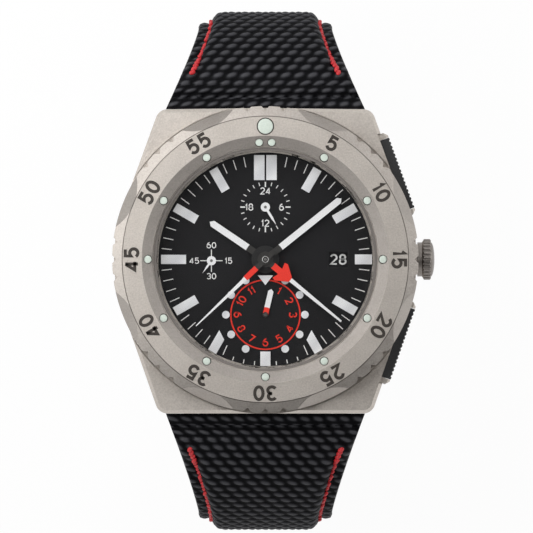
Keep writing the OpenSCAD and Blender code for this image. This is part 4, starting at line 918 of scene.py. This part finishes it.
def stitching(half):
    """Twisted thread along both sides of the pad, laid bead by bead."""
    shape = Shapes()
    count = int((half.last - STITCH_END - STITCH_FROM) / STITCH_PITCH)
    for side in (-1, 1):
        for i in range(count):
            s = STITCH_FROM + STITCH_PITCH * i
            w = half.width_at(s)
            u = side * (w - STITCH_INSET) / w
            before, here, after = (Vector(half.point(s + d, u)) for d in (-0.3, 0.0, 0.3))
            along = (after - before).normalized()
            out = (Vector(half.point(s, u, 3.0)) - Vector(half.point(s, u, 0.0))).normalized()
            over = along.cross(out).normalized()
            lean = (along * LEAN_ALONG + over * LEAN_OVER).normalized()
            shape.add(*bead(here + out * BEAD_UP, lean, lean.cross(out).normalized(), out))
    return shape


# The covers between the case's end and the strap
CASE_R = 23.0
COVER_GAP = 0.04
COVER_SIDES, COVER_STEPS, COVER_UNDER_STEPS = 96, 10, 4
COVER_LOW, COVER_HIGH, COVER_FALL = 0.85, 3.4, 0.8
COVER_LAP = 1.3
COVER_EDGE_ROLL, COVER_EDGE_DROP = 0.7, 0.5
COVER_END_ROLL, COVER_END_DROP = 0.35, 0.15
COVER_LEVEL, COVER_THIN = 0.3, 0.5
BAR_ROOM = END_R + 0.12


def cover(half):
    """The cloth that closes the gap between the case's end and the strap, over the lugs."""
    shape = Shapes()
    bar, end = half.bar, half.end
    out_y = bar[0] - COVER_LAP
    low, high = bar[1] + COVER_LOW, bar[1] + COVER_HIGH
    wide = half.half_width(end, bar[1])
    taper = (wide - half.half_width(out_y, bar[1])) / (out_y - end)
    for i in range(COVER_SIDES + 1):
        u = -1 + 2 * i / COVER_SIDES
        x = u * wide
        in_y = end + COVER_GAP
        if abs(x) < CASE_R:
            in_y = max(in_y, math.sqrt(CASE_R ** 2 - x ** 2) + COVER_GAP)
        deep = out_y - in_y
        side = rounded(wide - abs(x), COVER_EDGE_ROLL)
        ring = []
        for k in range(COVER_STEPS + 1):
            t = k / COVER_STEPS
            y = in_y + deep * t
            top = high - COVER_FALL * max(0.0, (y - in_y - COVER_LEVEL) / deep)
            cloth = weave(x, -(bar[0] - y))
            end_roll = COVER_END_DROP * (rounded((1 - t) * deep, COVER_END_ROLL) - 1)
            z = top + WEAVE_DEPTH * (cloth - 0.5) + end_roll - COVER_EDGE_DROP * (1 - side)
            ring.append((x - u * taper * (y - end), half.sign * y, z))
            shape.lifts.append(cloth)
        for k in range(COVER_UNDER_STEPS + 1):
            y = out_y - deep * k / COVER_UNDER_STEPS
            reach = BAR_ROOM * BAR_ROOM - (y - bar[0]) ** 2
            z = max(low, bar[1] + math.sqrt(reach) if reach > 0 else low)
            z = min(z, ring[0][2] - COVER_THIN)
            ring.append((x - u * taper * (y - end), half.sign * y, z))
            shape.lifts.append(PLAIN)
        shape.points += ring
    size = len(ring)
    shape.faces = around(COVER_SIDES + 1, size)
    shape.faces.append(list(range(size))[::-1])
    shape.faces.append([COVER_SIDES * size + k for k in range(size)])
    return shape


def oriented(obj):
    """Turns all faces of a closed mesh outwards."""
    bm = bmesh.new()
    bm.from_mesh(obj.data)
    bmesh.ops.recalc_face_normals(bm, faces=bm.faces)
    bm.to_mesh(obj.data)
    bm.free()
    return obj


def keep_lifts(obj, lifts):
    """Stores each point's height in the weave, which the cloth's material turns into painted shade
    between its bumps.
    """
    store = obj.data.attributes.new("lift", "FLOAT", "POINT")
    store.data.foreach_set("value", lifts)


HALVES = (
    Half("strap_12", 1, bar=(25.9, 56.0), reach=37.7, pivot=(17.0, 5.9), down=20.0, end=22.8,
         tail_x=9.0, knuckle_x=6.3),
    Half("strap_6", -1, bar=(26.5, 56.0), reach=41.2, pivot=(17.0, 4.6), down=15.0, end=23.4,
         tail_x=7.9, knuckle_x=0.0),
)
covers = Shapes()
for half in HALVES:
    for kind, shape, slot, material in (
            ("cloth", strap_body(half), "strap_fabric", CLOTH),
            ("tail", tail(half), "strap_fabric", TAIL_CLOTH),
            ("stitching", stitching(half), "strap_fabric", THREAD),
            ("lining", lining(half), "strap_leather", LEATHER)):
        obj = oriented(piece(half.name + "_" + kind, shape, half.name, material,
                             kind != "tail"))
        if kind == "cloth":
            keep_lifts(obj, shape.lifts)
            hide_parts(half.name)
        if kind == "lining":
            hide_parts(half.name + "_lining")
    shape = cover(half)
    covers.add(shape.points, shape.faces)
    covers.lifts += shape.lifts
obj = oriented(piece("strap_covers_cloth", covers, "root", CLOTH))
keep_lifts(obj, covers.lifts)
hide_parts("strap_covers")

# Camera: from straight above, with 12 o'clock up
LENS = 1500.0
SENSOR = 36.0
PICTURE_W = 80.86
AIM = (0.17, -1.08)
cam = bpy.data.objects.new("camera", bpy.data.cameras.new("camera"))
scene.collection.objects.link(cam)
cam.data.lens, cam.data.sensor_width = LENS, SENSOR
cam.location = (AIM[0] * MM, AIM[1] * MM, (BEZEL_TOP + PICTURE_W * LENS / SENSOR) * MM)
cam.data.clip_start, cam.data.clip_end = 0.5, 10.0
scene.camera = cam

# Lamps, in metres and watts
HEAD = Vector((0, 0, 0.06))


def area(name, direction, distance, width, depth, power):
    """A soft lamp that looks at the head from a direction, with its width along X."""
    lamp = bpy.data.lights.new(name, "AREA")
    lamp.shape, lamp.size, lamp.size_y, lamp.energy = "RECTANGLE", width, depth, power
    obj = bpy.data.objects.new(name, lamp)
    scene.collection.objects.link(obj)
    way = Vector(direction).normalized()
    obj.location = HEAD + way * distance
    obj.rotation_euler = way.to_track_quat("Z", "Y").to_euler()
    obj.visible_camera = False


area("key", (-0.95, 0.6, 1.3), distance=0.145, width=0.2, depth=0.15, power=0.24)
area("right", (1.1, 0.5, 1.4), distance=0.2, width=0.16, depth=0.14, power=0.12)

# Floor: white to the camera and in reflections, with a soft shadow
FLOOR_HALF_W = 3.0
FLOOR_GLOW = 0.94
FLOOR_WHITE = (0.95, 0.95, 0.95)


def floor_white():
    """A glow for the camera, reflections and glass, mixed with a matt white that takes shadows."""
    paper = bpy.data.materials.new("floor_white")
    m = Tree(paper)
    ray = m.add("ShaderNodeLightPath").outputs
    seen = m.math("MAXIMUM", ray["Is Glossy Ray"], ray["Is Transmission Ray"])
    seen = m.math("MAXIMUM", ray["Is Camera Ray"], seen)
    matt = m.add("ShaderNodeBsdfDiffuse")
    m.put(FLOOR_WHITE, matt.inputs["Color"])
    both = m.add("ShaderNodeMixShader")
    m.link(m.math("MULTIPLY", seen, FLOOR_GLOW), both.inputs[0])
    m.link(matt.outputs[0], both.inputs[1])
    m.link(m.add("ShaderNodeEmission").outputs[0], both.inputs[2])
    m.link(both.outputs[0], m.add("ShaderNodeOutputMaterial").inputs[0])
    return paper


W = FLOOR_HALF_W
floor_mesh = bpy.data.meshes.new("floor")
floor_mesh.from_pydata([(-W, -W, 0), (W, -W, 0), (W, W, 0), (-W, W, 0)], [], [[0, 1, 2, 3]])
floor_mesh.materials.append(floor_white())
floor = bpy.data.objects.new("floor", floor_mesh)
scene.collection.objects.link(floor)

# World: a light tent with white walls and a dim opening overhead
TENT_WALL, TENT_TOP = 0.9, 0.06
WALL_FROM, OPENING_TO = math.radians(60), math.radians(33)
world = bpy.data.worlds.new("world")
scene.world = world
m = Tree(world)
up = m.add("ShaderNodeSeparateXYZ")
m.link(m.add("ShaderNodeTexCoord").outputs["Generated"], up.inputs[0])
tent = m.smooth_range(up.outputs["Z"], math.cos(WALL_FROM), math.cos(OPENING_TO),
                      TENT_WALL, TENT_TOP)
back = m.add("ShaderNodeBackground")
m.put((1.0, 1.0, 1.0), back.inputs["Color"])
m.put(tent, back.inputs["Strength"])
m.link(back.outputs[0], m.add("ShaderNodeOutputWorld").inputs[0])
